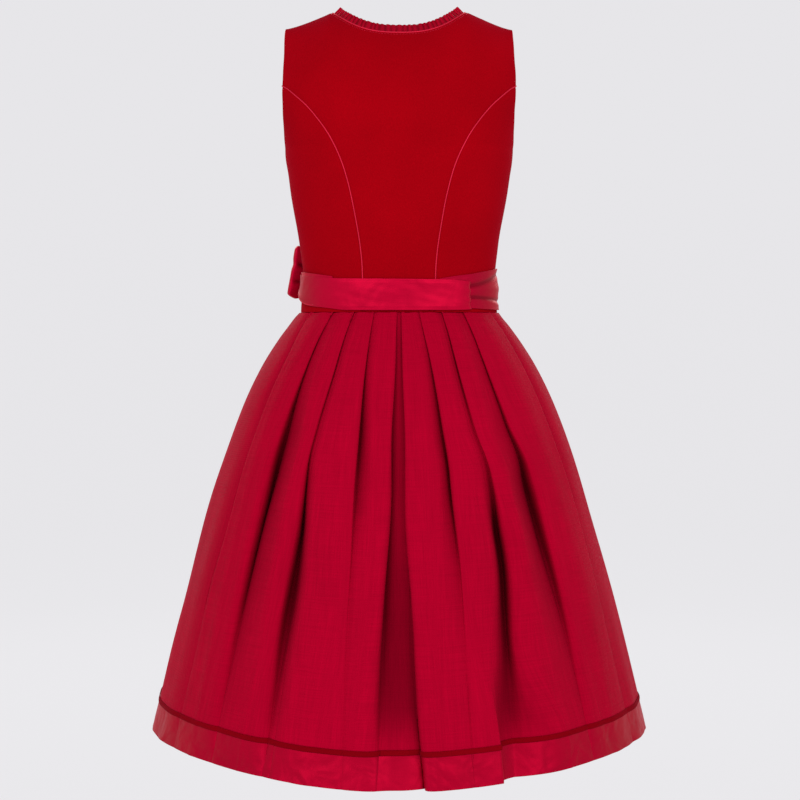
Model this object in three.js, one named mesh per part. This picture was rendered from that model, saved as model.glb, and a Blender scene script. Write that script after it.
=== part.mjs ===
// A knee-length dirndl: a sleeveless velvet bodice with satin piping and a frilled neckline, a pleated
// six-gore skirt with a velvet ribbon and a satin hem band, and a satin apron whose tie runs round the
// back into a bow at the wearer's left front. The dress is hollow and filled out as if worn.
//
// Millimetres and degrees, +Z up. The front faces -Y and the wearer's left is +X. The origin is the
// point midway between the shoulder seams. Angles round the body start at the centre back and grow
// towards the wearer's right, so a quarter turn is the right side seam and a half turn is the front.
import * as THREE from "three";

// ---- Driving dimensions --------------------------------------------------------------------------

const VELVET_WALL = 2.0; // velvet with its backing
const SKIRT_WALL = 1.6;
const SATIN_WALL = 1.2;
const LAYER_GAP = 0.3; // between pieces that lie on each other
const SEAM_HALF_GAP = 0.25; // each panel stops this short of its seam line

const WAIST_Z = -395; // seam between bodice and skirt
const TIE_SKIN_Z = -350; // the bodice is straight from the waist seam up to here
const UNDERARM_Z = -175;
const PRINCESS_TOP_Z = -98; // where the curved back seam runs into the armhole
const SHOULDER_TIP_Z = -18;
const NECK_POINT_Z = 4; // top end of the shoulder seam, at the neck
const NECK_SHARE = 0.6; // the neck point, as a share of the bodice's half width
const BACK_NECK_Z = -34;
const FRONT_NECK_Z = -160;
const BACK_NECK_POWER = 2.55; // how square the back neckline is
const FRONT_NECK_POWER = 3.2;
const SHOULDER_SEAM_Y = 4;
const SHOULDER_HOLLOW = 1.25; // how much the shoulder line hangs below a straight one
const SHOULDER_ROLL = 80; // height over which the back and front turn over the shoulder

// Bodice sections. halfWidth is measured at the side seam or armhole, edgeY is how far the armhole's
// edge lies behind or before the side, centreY is the depth at the centre line, and turn is how far
// round the section turns, in degrees.
const BODICE_BACK = [
  { z: -395, halfWidth: 131.0, edgeY: 0, centreY: 86, turn: 90 },
  { z: -350, halfWidth: 128.5, edgeY: 0, centreY: 84, turn: 90 },
  { z: -305, halfWidth: 132.5, edgeY: 0, centreY: 87, turn: 90 },
  { z: -260, halfWidth: 140.0, edgeY: 0, centreY: 92, turn: 90 },
  { z: -215, halfWidth: 147.0, edgeY: 0, centreY: 97, turn: 90 },
  { z: -175, halfWidth: 152.0, edgeY: 0, centreY: 100, turn: 90 },
  { z: -171, halfWidth: 152.0, edgeY: 11, centreY: 100, turn: 87 },
  { z: -160, halfWidth: 152.0, edgeY: 22, centreY: 101, turn: 82 },
  { z: -140, halfWidth: 152.0, edgeY: 33, centreY: 101, turn: 75 },
  { z: -100, halfWidth: 152.5, edgeY: 46, centreY: 99, turn: 66 },
  { z: -60, halfWidth: 151.5, edgeY: 46, centreY: 94, turn: 61 },
  { z: -25, halfWidth: 151.0, edgeY: 40, centreY: 87, turn: 58 },
  { z: 12, halfWidth: 151.0, edgeY: 32, centreY: 79, turn: 57 },
];
const BODICE_FRONT = [
  { z: -395, halfWidth: 131.0, edgeY: 0, centreY: -101, turn: 90 },
  { z: -350, halfWidth: 128.5, edgeY: 0, centreY: -100, turn: 90 },
  { z: -305, halfWidth: 132.5, edgeY: 0, centreY: -106, turn: 90 },
  { z: -260, halfWidth: 140.0, edgeY: 0, centreY: -117, turn: 90 },
  { z: -215, halfWidth: 147.0, edgeY: 0, centreY: -125, turn: 90 },
  { z: -175, halfWidth: 152.0, edgeY: 0, centreY: -127, turn: 90 },
  { z: -171, halfWidth: 151.5, edgeY: -10, centreY: -127, turn: 87 },
  { z: -160, halfWidth: 150.0, edgeY: -19, centreY: -126, turn: 83 },
  { z: -140, halfWidth: 146.0, edgeY: -28, centreY: -124, turn: 77 },
  { z: -100, halfWidth: 140.0, edgeY: -38, centreY: -116, turn: 70 },
  { z: -60, halfWidth: 140.5, edgeY: -38, centreY: -104, turn: 64 },
  { z: -25, halfWidth: 149.3, edgeY: -32, centreY: -92, turn: 60 },
  { z: -18, halfWidth: 151.0, edgeY: -31, centreY: -89, turn: 59.5 },
  { z: 12, halfWidth: 151.0, edgeY: -26, centreY: -78, turn: 58 },
];

// The curved back seam: its distance from the centre back at each height.
const PRINCESS_SEAM = [
  { z: -395, x: 46 },
  { z: -340, x: 47.5 },
  { z: -278, x: 55 },
  { z: -214, x: 69 },
  { z: -168, x: 89 },
  { z: -128, x: 118 },
  { z: -98, x: 150 },
];

// Fullness that the front's darts give it, on each side.
const BUST = { x: 76, z: -212, wide: 44, tall: 58, deep: 11 };

// Heights of the bodice's rows at its side edge, from the waist seam to the shoulder tip.
const EDGE_ROWS = [
  WAIST_Z, TIE_SKIN_Z, -305, -260, -215, UNDERARM_Z, -171, -158, -134, -113, PRINCESS_TOP_Z,
  -82, -62, -45, -33, -25, -20.5, SHOULDER_TIP_Z,
];
const UNDERARM_ROW = EDGE_ROWS.indexOf(UNDERARM_Z);
const PRINCESS_TOP_ROW = EDGE_ROWS.indexOf(PRINCESS_TOP_Z);
const BACK_COLUMNS = [-1, -0.8, -NECK_SHARE, -0.42, -0.22, 0, 0.22, 0.42, NECK_SHARE, 0.8, 1];
const SIDE_COLUMNS = [0, 0.25, 0.5, 0.75, 1];
const FRONT_COLUMNS = [0, 0.22, 0.4, 0.51, 0.558, 0.585, NECK_SHARE, 0.74, 0.87, 0.96, 1];

const PIPING_RADIUS = 0.8;
const FRILL_HEIGHT = 14; // the frill stands this far above the neck edge
const FRILL_LIFT = 0.6; // share of straight up in the frill's direction
const FRILL_INSET = 1.5; // between the velvet's inner face and the frill
const SHARPEST_MITRE = 2;

// The skirt's outline: its half width at each height.
const SKIRT = [
  { z: -395.4, halfWidth: 134 },
  { z: -405, halfWidth: 142 },
  { z: -432, halfWidth: 162.5 },
  { z: -470, halfWidth: 186 },
  { z: -520, halfWidth: 209.5 },
  { z: -600, halfWidth: 238 },
  { z: -700, halfWidth: 266.5 },
  { z: -800, halfWidth: 293 },
  { z: -968, halfWidth: 333 },
];
const SKIRT_TOP_Z = SKIRT[0].z;
const HEM_Z = SKIRT[SKIRT.length - 1].z;
const SKIRT_WAIST_BACK = 89;
const SKIRT_WAIST_FRONT = 104;
const HEM_DEPTH = 300; // from the side seams to the hem's centre back or front
const HEM_LIFT = 19; // the hem is this much higher at the sides
const RIBBON_Z = HEM_Z + 42; // velvet ribbon, over the seam of the satin hem band
const RIBBON_HALF_WIDTH = 3.2;
const SKIRT_ROWS = [SKIRT_TOP_Z, -420, -460, -515, -590, -690, -800];

// Heights at which the folds' depths are stated.
const FOLD_HEIGHTS = [-395, -470, -560, -680, -820, -968];
const FOLD_TURN_HEIGHTS = [-395, -457, -540, -600, -700, -800, -968];
// The folds of a quarter of the skirt, from the centre to the side. angle is where each lies at
// FOLD_TURN_HEIGHTS, depth its depth at FOLD_HEIGHTS. A fold's front edge faces the centre, apart from
// the side fold's. The first of each quarter is an edge of the box pleat, and the seam between two
// gores lies beside the seam fold.
const LEFT_FOLDS = [
  { kind: "box", angle: [1.3, 1.3, 2, 2.4, 2.8, 3.3, 4.5], depth: [4, 12, 20, 24, 22, 16] },
  { kind: "plain", angle: [14, 13.5, 13.1, 12.9, 12.6, 12.3, 12], depth: [4, 12, 13, 4, 3, 2] },
  { kind: "seam", angle: [26.2, 26, 27.9, 28.9, 28.6, 29, 29], depth: [4, 9, 18, 27, 20, 9] },
  { kind: "plain", angle: [40.6, 40.4, 41.5, 42.5, 43.2, 44, 44.5], depth: [4, 13, 24, 20, 7, 3] },
  { kind: "side", angle: [61, 56, 57, 58, 59, 60, 60], depth: [4, 6, 4, 4, 3, 2] },
];
const RIGHT_FOLDS = [
  { kind: "box", angle: [1.3, 1.3, 1.6, 1.9, 2.3, 2.7, 5], depth: [4, 12, 20, 24, 22, 17] },
  { kind: "plain", angle: [11.2, 13, 14.6, 15.4, 15.8, 15.8, 15.8], depth: [4, 12, 11, 5, 3, 3] },
  { kind: "seam", angle: [24.8, 24.2, 25.8, 27.4, 27.8, 26.3, 25.5], depth: [4, 9, 18, 28, 22, 18] },
  { kind: "plain", angle: [39.2, 37.9, 40.5, 42.2, 42.6, 45, 46], depth: [4, 11, 19, 24, 9, 3] },
  { kind: "side", angle: [65, 63, 64, 65, 66, 66, 66], depth: [4, 6, 4, 4, 3, 2] },
];
const FOLD_INNER_TOP = 13; // width of a fold's slope on its centre side, at the waist
const FOLD_INNER_HEM = 30;
const FOLD_OUTER = 2; // and on its side side, plus a share of its depth
const FOLD_OUTER_SHARE = 0.2;
const FOLD_SHOULDER = 0.08; // share of the depth at the slope's start
const FOLD_NOSE = 0.15; // share of the depth at the fold's front edge
const SEAM_PAIR = 1; // two stations closer than this many degrees are the two sides of a seam

// Satin tie and apron.
const TIE_BOTTOM_BACK = -391;
const TIE_HEIGHT = 39;
const TIE_START = 46; // right end of the tie, over the apron band's end
const TIE_END = -131; // at the bow
const TIE_LIFT = 12; // the tie rises towards the bow, from this angle on
const TIE_LIFT_START = -30;
const TIE_NARROW = 12; // and narrows this much
const BAND_START = -42; // left end of the apron band, under the tie
const BAND_END = 34; // right end, under the tie's start
const BAND_HEIGHT = 38;
const APRON_TOP_HALF = 64; // half the angle that the apron covers at the top
const APRON_HEM_HALF = 70;
const APRON_TOP_Z = -392.6;
const APRON_HEM_Z = -905;
const APRON_GATHERS = 12;
const APRON_GATHER_DEPTH = 7;
const APRON_CLEAR = 1.5; // between the skirt's outline and the apron

const BOW = { angle: -138, z: -347, knotHalf: 13, knotTall: 15, knotDeep: 8, clear: 1.2 };
const LOOP = { length: 66, depth: 12, endHalf: 36, pinchHalf: 9, rise: 8, lean: 0.2 };
const LOOP_STEPS = 12;
const LOOP_PINCH = 0.17; // share of the depth between the middle and each layer at the knot
const LOOP_SWELL = 0.33; // and this much more halfway along
const TAIL_ROWS = 6;
const TAIL_CLEAR = 4; // between the apron's gathers and the tails
const TAIL_CROWN = 2; // the tail's middle stands this much proud of its edges
const TAIL_SLANT = 5; // one edge ends this much lower than the middle
const TAIL_PINCH = 0.25; // share of the width at the knot
const TAIL_FULL_AT = 0.33; // share of the length at which the tail has its whole width
const TAIL_APART_AT = 0.5; // and at which it lies at its own angle
const TAILS = [
  { name: "bow_tail_back", angle: -130, spread: 3.5, half: 29, length: 262, layer: 0 },
  { name: "bow_tail_front", angle: -147, spread: -3, half: 29, length: 285, layer: 4.5 },
];

// ---- Curves through the tables ---------------------------------------------------------------------

// A smooth curve through points (xs ascending) that never overshoots them.
function curveThrough(xs, ys) {
  const n = xs.length;
  const slope = (i) => (ys[i + 1] - ys[i]) / (xs[i + 1] - xs[i]);
  const tangents = xs.map((_, i) => {
    if (i === 0) return slope(0);
    if (i === n - 1) return slope(n - 2);
    const before = slope(i - 1);
    const after = slope(i);
    return before * after <= 0 ? 0 : (2 * before * after) / (before + after);
  });
  return (x) => {
    let i = 0;
    while (i < n - 2 && x > xs[i + 1]) i += 1;
    const span = xs[i + 1] - xs[i];
    const t = THREE.MathUtils.clamp((x - xs[i]) / span, 0, 1);
    const keep = (1 + 2 * t) * (1 - t) ** 2;
    const leave = t * (1 - t) ** 2 * span;
    const arrive = t * t * (t - 1) * span;
    return keep * ys[i] + leave * tangents[i] + (1 - keep) * ys[i + 1] + arrive * tangents[i + 1];
  };
}

function columnCurve(rows, value) {
  const sorted = [...rows].sort((a, b) => a.z - b.z);
  return curveThrough(sorted.map((row) => row.z), sorted.map((row) => row[value]));
}

function heightCurve(heights, values) {
  return curveThrough([...heights].reverse(), [...values].reverse());
}

const radians = THREE.MathUtils.degToRad;
const lerp = THREE.MathUtils.lerp;

// ---- Closed walls from grids of points ---------------------------------------------------------------

// Unit direction of the polyline through a, b and c, at b; a or c may be missing at an end.
function directionAt(a, b, c) {
  const sum = new THREE.Vector3();
  if (a) sum.add(b.clone().sub(a).normalize());
  if (c) sum.add(c.clone().sub(b).normalize());
  return sum.normalize();
}

// Outward normals of a grid [row][column], rows upwards and columns running so that along x up is out.
function gridNormals(grid, wrap = false) {
  const columns = grid[0].length;
  return grid.map((row, j) =>
    row.map((point, i) => {
      const before = wrap ? row[(i + columns - 1) % columns] : row[i - 1];
      const after = wrap ? row[(i + 1) % columns] : row[i + 1];
      const along = directionAt(before, point, after);
      const up = directionAt(grid[j - 1]?.[i], point, grid[j + 1]?.[i]);
      return along.cross(up).normalize();
    }),
  );
}

function moved(grid, normals, distance) {
  return grid.map((row, j) => row.map((p, i) => p.clone().addScaledVector(normals[j][i], distance)));
}

function closedMesh(name, positions, triangles, material) {
  let volume = 0;
  for (const [a, b, c] of triangles) {
    volume += positions[a].dot(positions[b].clone().cross(positions[c])) / 6;
  }
  const faces = volume < 0 ? triangles.map(([a, b, c]) => [a, c, b]) : triangles;
  const geometry = new THREE.BufferGeometry().setFromPoints(positions);
  geometry.setIndex(faces.flat());
  geometry.computeVertexNormals();
  const mesh = new THREE.Mesh(geometry, material);
  mesh.name = name;
  return mesh;
}

// The solid between an outer and an inner grid. With wrap the last column joins the first.
function wallMesh(name, outer, inner, material, wrap = false) {
  const rows = outer.length;
  const columns = outer[0].length;
  const positions = [...outer.flat(), ...inner.flat()];
  const at = (side, j, i) => side * rows * columns + j * columns + (i % columns);
  const triangles = [];
  const quad = (a, b, c, d) => triangles.push([a, b, c], [a, c, d]);
  const steps = wrap ? columns : columns - 1;
  for (let i = 0; i < steps; i += 1) {
    for (let j = 0; j < rows - 1; j += 1) {
      quad(at(0, j, i), at(0, j, i + 1), at(0, j + 1, i + 1), at(0, j + 1, i));
      quad(at(1, j + 1, i), at(1, j + 1, i + 1), at(1, j, i + 1), at(1, j, i));
    }
    quad(at(1, 0, i), at(1, 0, i + 1), at(0, 0, i + 1), at(0, 0, i));
    quad(at(0, rows - 1, i), at(0, rows - 1, i + 1), at(1, rows - 1, i + 1), at(1, rows - 1, i));
  }
  for (let j = 0; !wrap && j < rows - 1; j += 1) {
    quad(at(1, j, 0), at(0, j, 0), at(0, j + 1, 0), at(1, j + 1, 0));
    quad(at(0, j, columns - 1), at(1, j, columns - 1), at(1, j + 1, columns - 1), at(0, j + 1, columns - 1));
  }
  return closedMesh(name, positions, triangles, material);
}

// A four-sided cord along points, with the direction that faces out of the cloth at each.
function cordMesh(name, points, outs, radius, material, closed = false) {
  const n = points.length;
  const sides = 4;
  const positions = [];
  for (let k = 0; k < n; k += 1) {
    const before = closed ? points[(k + n - 1) % n] : points[k - 1];
    const after = closed ? points[(k + 1) % n] : points[k + 1];
    const along = directionAt(before, points[k], after);
    const out = outs[k].clone().addScaledVector(along, -outs[k].dot(along)).normalize();
    const across = along.clone().cross(out);
    for (let s = 0; s < sides; s += 1) {
      const turn = (s / sides) * Math.PI * 2;
      const spoke = out.clone().multiplyScalar(Math.cos(turn)).addScaledVector(across, Math.sin(turn));
      positions.push(points[k].clone().addScaledVector(spoke, radius));
    }
  }
  const triangles = [];
  for (let k = 0; k < (closed ? n : n - 1); k += 1) {
    for (let s = 0; s < sides; s += 1) {
      const next = ((k + 1) % n) * sides;
      const a = k * sides + s;
      const b = k * sides + ((s + 1) % sides);
      triangles.push([a, b, next + ((s + 1) % sides)], [a, next + ((s + 1) % sides), next + s]);
    }
  }
  if (!closed) {
    const last = (n - 1) * sides;
    triangles.push([0, 2, 1], [0, 3, 2], [last, last + 1, last + 2], [last, last + 2, last + 3]);
  }
  return closedMesh(name, positions, triangles, material);
}

// ---- Materials ---------------------------------------------------------------------------------------

function cloth(color, roughness) {
  return new THREE.MeshStandardMaterial({ color, roughness, metalness: 0, side: THREE.DoubleSide });
}
const velvet = cloth(0x96000c, 0.95);
const wovenCloth = cloth(0xa80a26, 0.85);
const satin = cloth(0xb8102e, 0.4);
const ribbonVelvet = cloth(0x7a000a, 0.95);
const pipingSatin = cloth(0xc4283f, 0.45);

// ---- Bodice ------------------------------------------------------------------------------------------

function sectionCurves(rows) {
  const values = Object.keys(rows[0]).filter((key) => key !== "z");
  return Object.fromEntries(values.map((value) => [value, columnCurve(rows, value)]));
}
const backCurves = sectionCurves(BODICE_BACK);
const frontCurves = sectionCurves(BODICE_FRONT);
const princessX = columnCurve(PRINCESS_SEAM, "x");

// Height of the shoulder seam, from the neck point at 0 to the shoulder tip at 1.
function shoulderHeight(share) {
  return SHOULDER_TIP_Z + (NECK_POINT_Z - SHOULDER_TIP_Z) * (1 - share) ** SHOULDER_HOLLOW;
}

function shoulderRoll(z, x) {
  const reach = Math.abs(x) / backCurves.halfWidth(z);
  const share = THREE.MathUtils.clamp((reach - NECK_SHARE) / (1 - NECK_SHARE), 0, 1);
  const below = Math.max(shoulderHeight(share) - z, 0);
  return Math.sqrt(1 - (1 - Math.min(below / SHOULDER_ROLL, 1)) ** 2);
}

function bustFullness(x, z) {
  const across = (Math.abs(x) - BUST.x) / BUST.wide;
  const along = (z - BUST.z) / BUST.tall;
  return BUST.deep * Math.exp(-across * across - along * along);
}

// A point of the bodice's middle surface at height z and distance x from the centre line.
function bodicePoint(front, x, z) {
  const curves = front ? frontCurves : backCurves;
  const turn = radians(curves.turn(z));
  const angle = Math.asin(THREE.MathUtils.clamp((x / curves.halfWidth(z)) * Math.sin(turn), -1, 1));
  const reach = (Math.cos(angle) - Math.cos(turn)) / (1 - Math.cos(turn));
  const flat = lerp(curves.edgeY(z), curves.centreY(z), reach) - (front ? bustFullness(x, z) * reach : 0);
  const y = SHOULDER_SEAM_Y + (flat - SHOULDER_SEAM_Y) * shoulderRoll(z, x);
  return new THREE.Vector3(x, y, z);
}

function topOfBack(share) {
  const s = Math.abs(share);
  if (s > NECK_SHARE) return shoulderHeight((s - NECK_SHARE) / (1 - NECK_SHARE));
  return BACK_NECK_Z + (NECK_POINT_Z - BACK_NECK_Z) * (s / NECK_SHARE) ** BACK_NECK_POWER;
}

function topOfFront(share) {
  if (share > NECK_SHARE) return topOfBack(share);
  return FRONT_NECK_Z + (NECK_POINT_Z - FRONT_NECK_Z) * (share / NECK_SHARE) ** FRONT_NECK_POWER;
}

// Height of a row in a column whose top is at the given height.
function rowHeight(row, top) {
  const share = (EDGE_ROWS[row] - WAIST_Z) / (SHOULDER_TIP_Z - WAIST_Z);
  if (row <= 1) return EDGE_ROWS[row];
  return lerp(WAIST_Z, top, share);
}

// Grid of the centre back, from the wearer's right to the left.
function backCenterGrid() {
  return EDGE_ROWS.map((_, j) =>
    BACK_COLUMNS.map((share) => {
      const z = rowHeight(j, topOfBack(share));
      const half = j <= PRINCESS_TOP_ROW ? princessX(z) - SEAM_HALF_GAP : backCurves.halfWidth(z);
      const point = bodicePoint(false, share * half, z);
      if (j === EDGE_ROWS.length - 1 && Math.abs(share) >= NECK_SHARE) point.y += SEAM_HALF_GAP;
      return point;
    }),
  );
}

// Grid of a side back, from the curved seam to the side seam or armhole. side is 1 for the wearer's left.
function backSideGrid(side) {
  return EDGE_ROWS.slice(0, PRINCESS_TOP_ROW + 1).map((z) => {
    const start = Math.min(princessX(z) + SEAM_HALF_GAP, backCurves.halfWidth(z) - 1);
    const sine = Math.sin(radians(backCurves.turn(z)));
    const from = Math.asin((start / backCurves.halfWidth(z)) * sine);
    const to = radians(backCurves.turn(z));
    return SIDE_COLUMNS.map((share) => {
      const x = (backCurves.halfWidth(z) * Math.sin(lerp(from, to, share))) / sine;
      const point = bodicePoint(false, side * x, z);
      if (share === 1) point.y += SEAM_HALF_GAP;
      return point;
    });
  });
}

// Grid of a front, from the centre front to the side seam or armhole.
function frontGrid(side) {
  return EDGE_ROWS.map((_, j) =>
    FRONT_COLUMNS.map((share) => {
      const z = rowHeight(j, topOfFront(share));
      const x = Math.max(share * frontCurves.halfWidth(z), SEAM_HALF_GAP);
      const point = bodicePoint(true, side * x, z);
      const atShoulder = j === EDGE_ROWS.length - 1 && share >= NECK_SHARE;
      if (atShoulder || share === 1) point.y -= SEAM_HALF_GAP;
      return point;
    }),
  );
}

function flatten(vector, axis) {
  vector[axis] = 0;
  vector.normalize();
}

// Normals of a bodice grid. Along a shoulder or side seam both pieces share one direction.
function bodiceNormals(grid, facing, shoulderColumns, sideColumn) {
  const normals = gridNormals(grid).map((row) => row.map((normal) => normal.multiplyScalar(facing)));
  for (const i of shoulderColumns) flatten(normals[normals.length - 1][i], "y");
  if (sideColumn !== null) {
    for (let j = 0; j <= UNDERARM_ROW; j += 1) flatten(normals[j][sideColumn], "y");
  }
  return normals;
}

const LEFT = 1;
const RIGHT = -1;
const sideName = (side) => (side === LEFT ? "left" : "right");
const columnsFrom = (shares, least) => shares.map((_, i) => i).filter((i) => Math.abs(shares[i]) >= least);

const bodice = { center: { grid: backCenterGrid() } };
bodice.center.normals = bodiceNormals(bodice.center.grid, -1, columnsFrom(BACK_COLUMNS, NECK_SHARE), null);
for (const side of [LEFT, RIGHT]) {
  const back = backSideGrid(side);
  bodice[`side${side}`] = { grid: back, normals: bodiceNormals(back, -side, [], SIDE_COLUMNS.length - 1) };
  const front = frontGrid(side);
  const shoulder = columnsFrom(FRONT_COLUMNS, NECK_SHARE);
  bodice[`front${side}`] = {
    grid: front,
    normals: bodiceNormals(front, side, shoulder, FRONT_COLUMNS.length - 1),
  };
}

function bodiceMesh(name, { grid, normals }) {
  const half = VELVET_WALL / 2;
  return wallMesh(name, moved(grid, normals, half), moved(grid, normals, -half), velvet);
}

function bodiceMeshes() {
  const meshes = [bodiceMesh("back_center", bodice.center)];
  for (const side of [LEFT, RIGHT]) {
    meshes.push(bodiceMesh(`back_side_${sideName(side)}`, bodice[`side${side}`]));
    meshes.push(bodiceMesh(`front_${sideName(side)}`, bodice[`front${side}`]));
  }
  return meshes;
}

// ---- Piping and frill ----------------------------------------------------------------------------------

// One edge point of a bodice grid, with the cloth's normal there.
const edgePoint = ({ grid, normals }, row, column) => ({
  point: grid[row][column],
  normal: normals[row][column],
});

// The neckline from the right centre front over the back to the left centre front.
function neckPath() {
  const top = EDGE_ROWS.length - 1;
  const neckColumns = FRONT_COLUMNS.map((_, i) => i).filter((i) => FRONT_COLUMNS[i] < NECK_SHARE);
  const backColumns = BACK_COLUMNS.map((_, i) => i).filter((i) => Math.abs(BACK_COLUMNS[i]) <= NECK_SHARE);
  return [
    ...neckColumns.map((i) => edgePoint(bodice[`front${RIGHT}`], top, i)),
    ...backColumns.map((i) => edgePoint(bodice.center, top, i)),
    ...neckColumns.reverse().map((i) => edgePoint(bodice[`front${LEFT}`], top, i)),
  ];
}

// An armhole's edge from the underarm up the back, over the shoulder tip and down the front.
function armholePath(side) {
  const path = [];
  const back = bodice[`side${side}`];
  const front = bodice[`front${side}`];
  const centerColumn = side === LEFT ? BACK_COLUMNS.length - 1 : 0;
  for (let j = UNDERARM_ROW; j <= PRINCESS_TOP_ROW; j += 1) {
    path.push(edgePoint(back, j, SIDE_COLUMNS.length - 1));
  }
  for (let j = PRINCESS_TOP_ROW + 1; j < EDGE_ROWS.length; j += 1) {
    path.push(edgePoint(bodice.center, j, centerColumn));
  }
  for (let j = EDGE_ROWS.length - 2; j > UNDERARM_ROW; j -= 1) {
    path.push(edgePoint(front, j, FRONT_COLUMNS.length - 1));
  }
  return path;
}

// Directions that point out of the cloth's edge, in its plane, along a path of edge points. Their length
// grows at a corner, so that an offset keeps its distance from both stretches.
function edgeDirections(path, facing, closed = false) {
  const n = path.length;
  return path.map(({ point, normal }, k) => {
    const before = closed ? path[(k + n - 1) % n] : path[k - 1];
    const after = closed ? path[(k + 1) % n] : path[k + 1];
    const along = directionAt(before?.point, point, after?.point);
    const stretch = (after ?? path[k]).point.clone().sub((after ? path[k] : before).point).normalize();
    const mitre = 1 / Math.max(along.dot(stretch), 1 / SHARPEST_MITRE);
    return along.cross(normal).normalize().multiplyScalar(facing * mitre);
  });
}

function edgePiping(name, path, facing, closed) {
  const outs = edgeDirections(path, facing, closed);
  const reach = LAYER_GAP + PIPING_RADIUS;
  const points = path.map(({ point }, k) => point.clone().addScaledVector(outs[k], reach));
  return cordMesh(name, points, outs, PIPING_RADIUS, pipingSatin, closed);
}

function princessPiping(side) {
  const edge = side === LEFT ? BACK_COLUMNS.length - 1 : 0;
  const out = VELVET_WALL / 2 + LAYER_GAP + PIPING_RADIUS;
  const points = [];
  const outs = [];
  for (let j = 1; j < PRINCESS_TOP_ROW; j += 1) {
    const { point, normal } = edgePoint(bodice.center, j, edge);
    points.push(point.clone().setX(point.x + side * SEAM_HALF_GAP).addScaledVector(normal, out));
    outs.push(normal);
  }
  return cordMesh(`princess_piping_${sideName(side)}`, points, outs, PIPING_RADIUS, pipingSatin);
}

function neckFrill() {
  const path = neckPath();
  const outs = edgeDirections(path, 1).map((out) => out.setZ(out.z + FRILL_LIFT).normalize());
  const inward = VELVET_WALL / 2 + FRILL_INSET + SATIN_WALL / 2;
  const row = (distance, depth) =>
    path.map(({ point, normal }, k) =>
      point.clone().addScaledVector(outs[k], distance).addScaledVector(normal, -inward + depth),
    );
  const outer = [row(0, SATIN_WALL / 2), row(FRILL_HEIGHT, SATIN_WALL / 2)];
  const inner = [row(0, -SATIN_WALL / 2), row(FRILL_HEIGHT, -SATIN_WALL / 2)];
  return wallMesh("neck_frill", outer, inner, satin);
}

function trimMeshes() {
  const meshes = [edgePiping("neck_piping", neckPath(), 1, false), neckFrill()];
  for (const side of [LEFT, RIGHT]) {
    meshes.push(edgePiping(`armhole_piping_${sideName(side)}`, armholePath(side), -side, true));
    meshes.push(princessPiping(side));
  }
  return meshes;
}

// ---- Skirt -------------------------------------------------------------------------------------------

const skirtHalfWidth = columnCurve(SKIRT, "halfWidth");
const QUARTER = 90;

function skirtDepth(front, z) {
  const waist = SKIRT_WAIST_BACK + (front ? SKIRT_WAIST_FRONT - SKIRT_WAIST_BACK : 0);
  const first = SKIRT[0].halfWidth;
  const last = SKIRT[SKIRT.length - 1].halfWidth;
  return lerp(waist, HEM_DEPTH, (skirtHalfWidth(z) - first) / (last - first));
}

// A point of the skirt's outline at an angle round the body, moved out along the outline's normal.
function skirtPoint(angle, z, out = 0) {
  const a = radians(angle);
  const wide = skirtHalfWidth(z);
  const deep = skirtDepth(Math.cos(a) < 0, z);
  const normal = new THREE.Vector3(-Math.sin(a) / wide, Math.cos(a) / deep, 0).normalize();
  const share = (SKIRT_TOP_Z - z) / (SKIRT_TOP_Z - HEM_Z);
  const lift = HEM_LIFT * share * share * (1 - Math.cos(a) ** 4);
  return new THREE.Vector3(-wide * Math.sin(a), deep * Math.cos(a), z + lift).addScaledVector(normal, out);
}

function degreesPerMillimetre(angle, z, front) {
  const a = radians(angle);
  const speed = Math.hypot(skirtHalfWidth(z) * Math.cos(a), skirtDepth(front, z) * Math.sin(a));
  return 180 / Math.PI / speed;
}

function foldCurves(fold) {
  return {
    kind: fold.kind,
    angle: heightCurve(FOLD_TURN_HEIGHTS, fold.angle),
    depth: heightCurve(FOLD_HEIGHTS, fold.depth),
  };
}
const FOLDS = { [LEFT]: LEFT_FOLDS.map(foldCurves), [RIGHT]: RIGHT_FOLDS.map(foldCurves) };

// Stations of a quarter of the skirt at one height, from the centre to the side seam.
function quarterStations(side, front, z) {
  const share = (SKIRT_TOP_Z - z) / (SKIRT_TOP_Z - HEM_Z);
  const inner = lerp(FOLD_INNER_TOP, FOLD_INNER_HEM, share);
  const folds = FOLDS[side].map((fold) => ({ kind: fold.kind, angle: fold.angle(z), depth: fold.depth(z) }));
  const stations = [];
  folds.forEach(({ kind, angle, depth }, k) => {
    const per = degreesPerMillimetre(angle, z, front);
    const outer = (FOLD_OUTER + FOLD_OUTER_SHARE * depth) * per;
    const bottom = { angle, out: -depth };
    const shoulder = { angle: angle - inner * per, out: -FOLD_SHOULDER * depth };
    const nose = { angle: angle + outer, out: -FOLD_NOSE * depth };
    const gap = SEAM_HALF_GAP * per;
    if (kind === "box") {
      stations.push(bottom, nose);
    } else if (kind === "seam") {
      stations.push({ ...shoulder, angle: shoulder.angle - gap, seam: true });
      stations.push({ ...shoulder, angle: shoulder.angle + gap }, bottom, nose);
    } else if (kind === "side") {
      const noseBefore = { ...nose, angle: angle - outer };
      stations.push(noseBefore, bottom, { ...shoulder, angle: angle + inner * per });
    } else {
      stations.push(shoulder, bottom, nose);
    }
    const last = stations[stations.length - 1].angle;
    const next = folds[k + 1];
    const panelEnd = next ? next.angle - inner * degreesPerMillimetre(next.angle, z, front) : QUARTER;
    stations.push({ angle: (last + panelEnd) / 2, out: 0 });
  });
  const sideGap = SEAM_HALF_GAP * degreesPerMillimetre(QUARTER, z, front);
  stations.push({ angle: QUARTER - sideGap, out: 0, seam: true });
  return stations;
}

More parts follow.
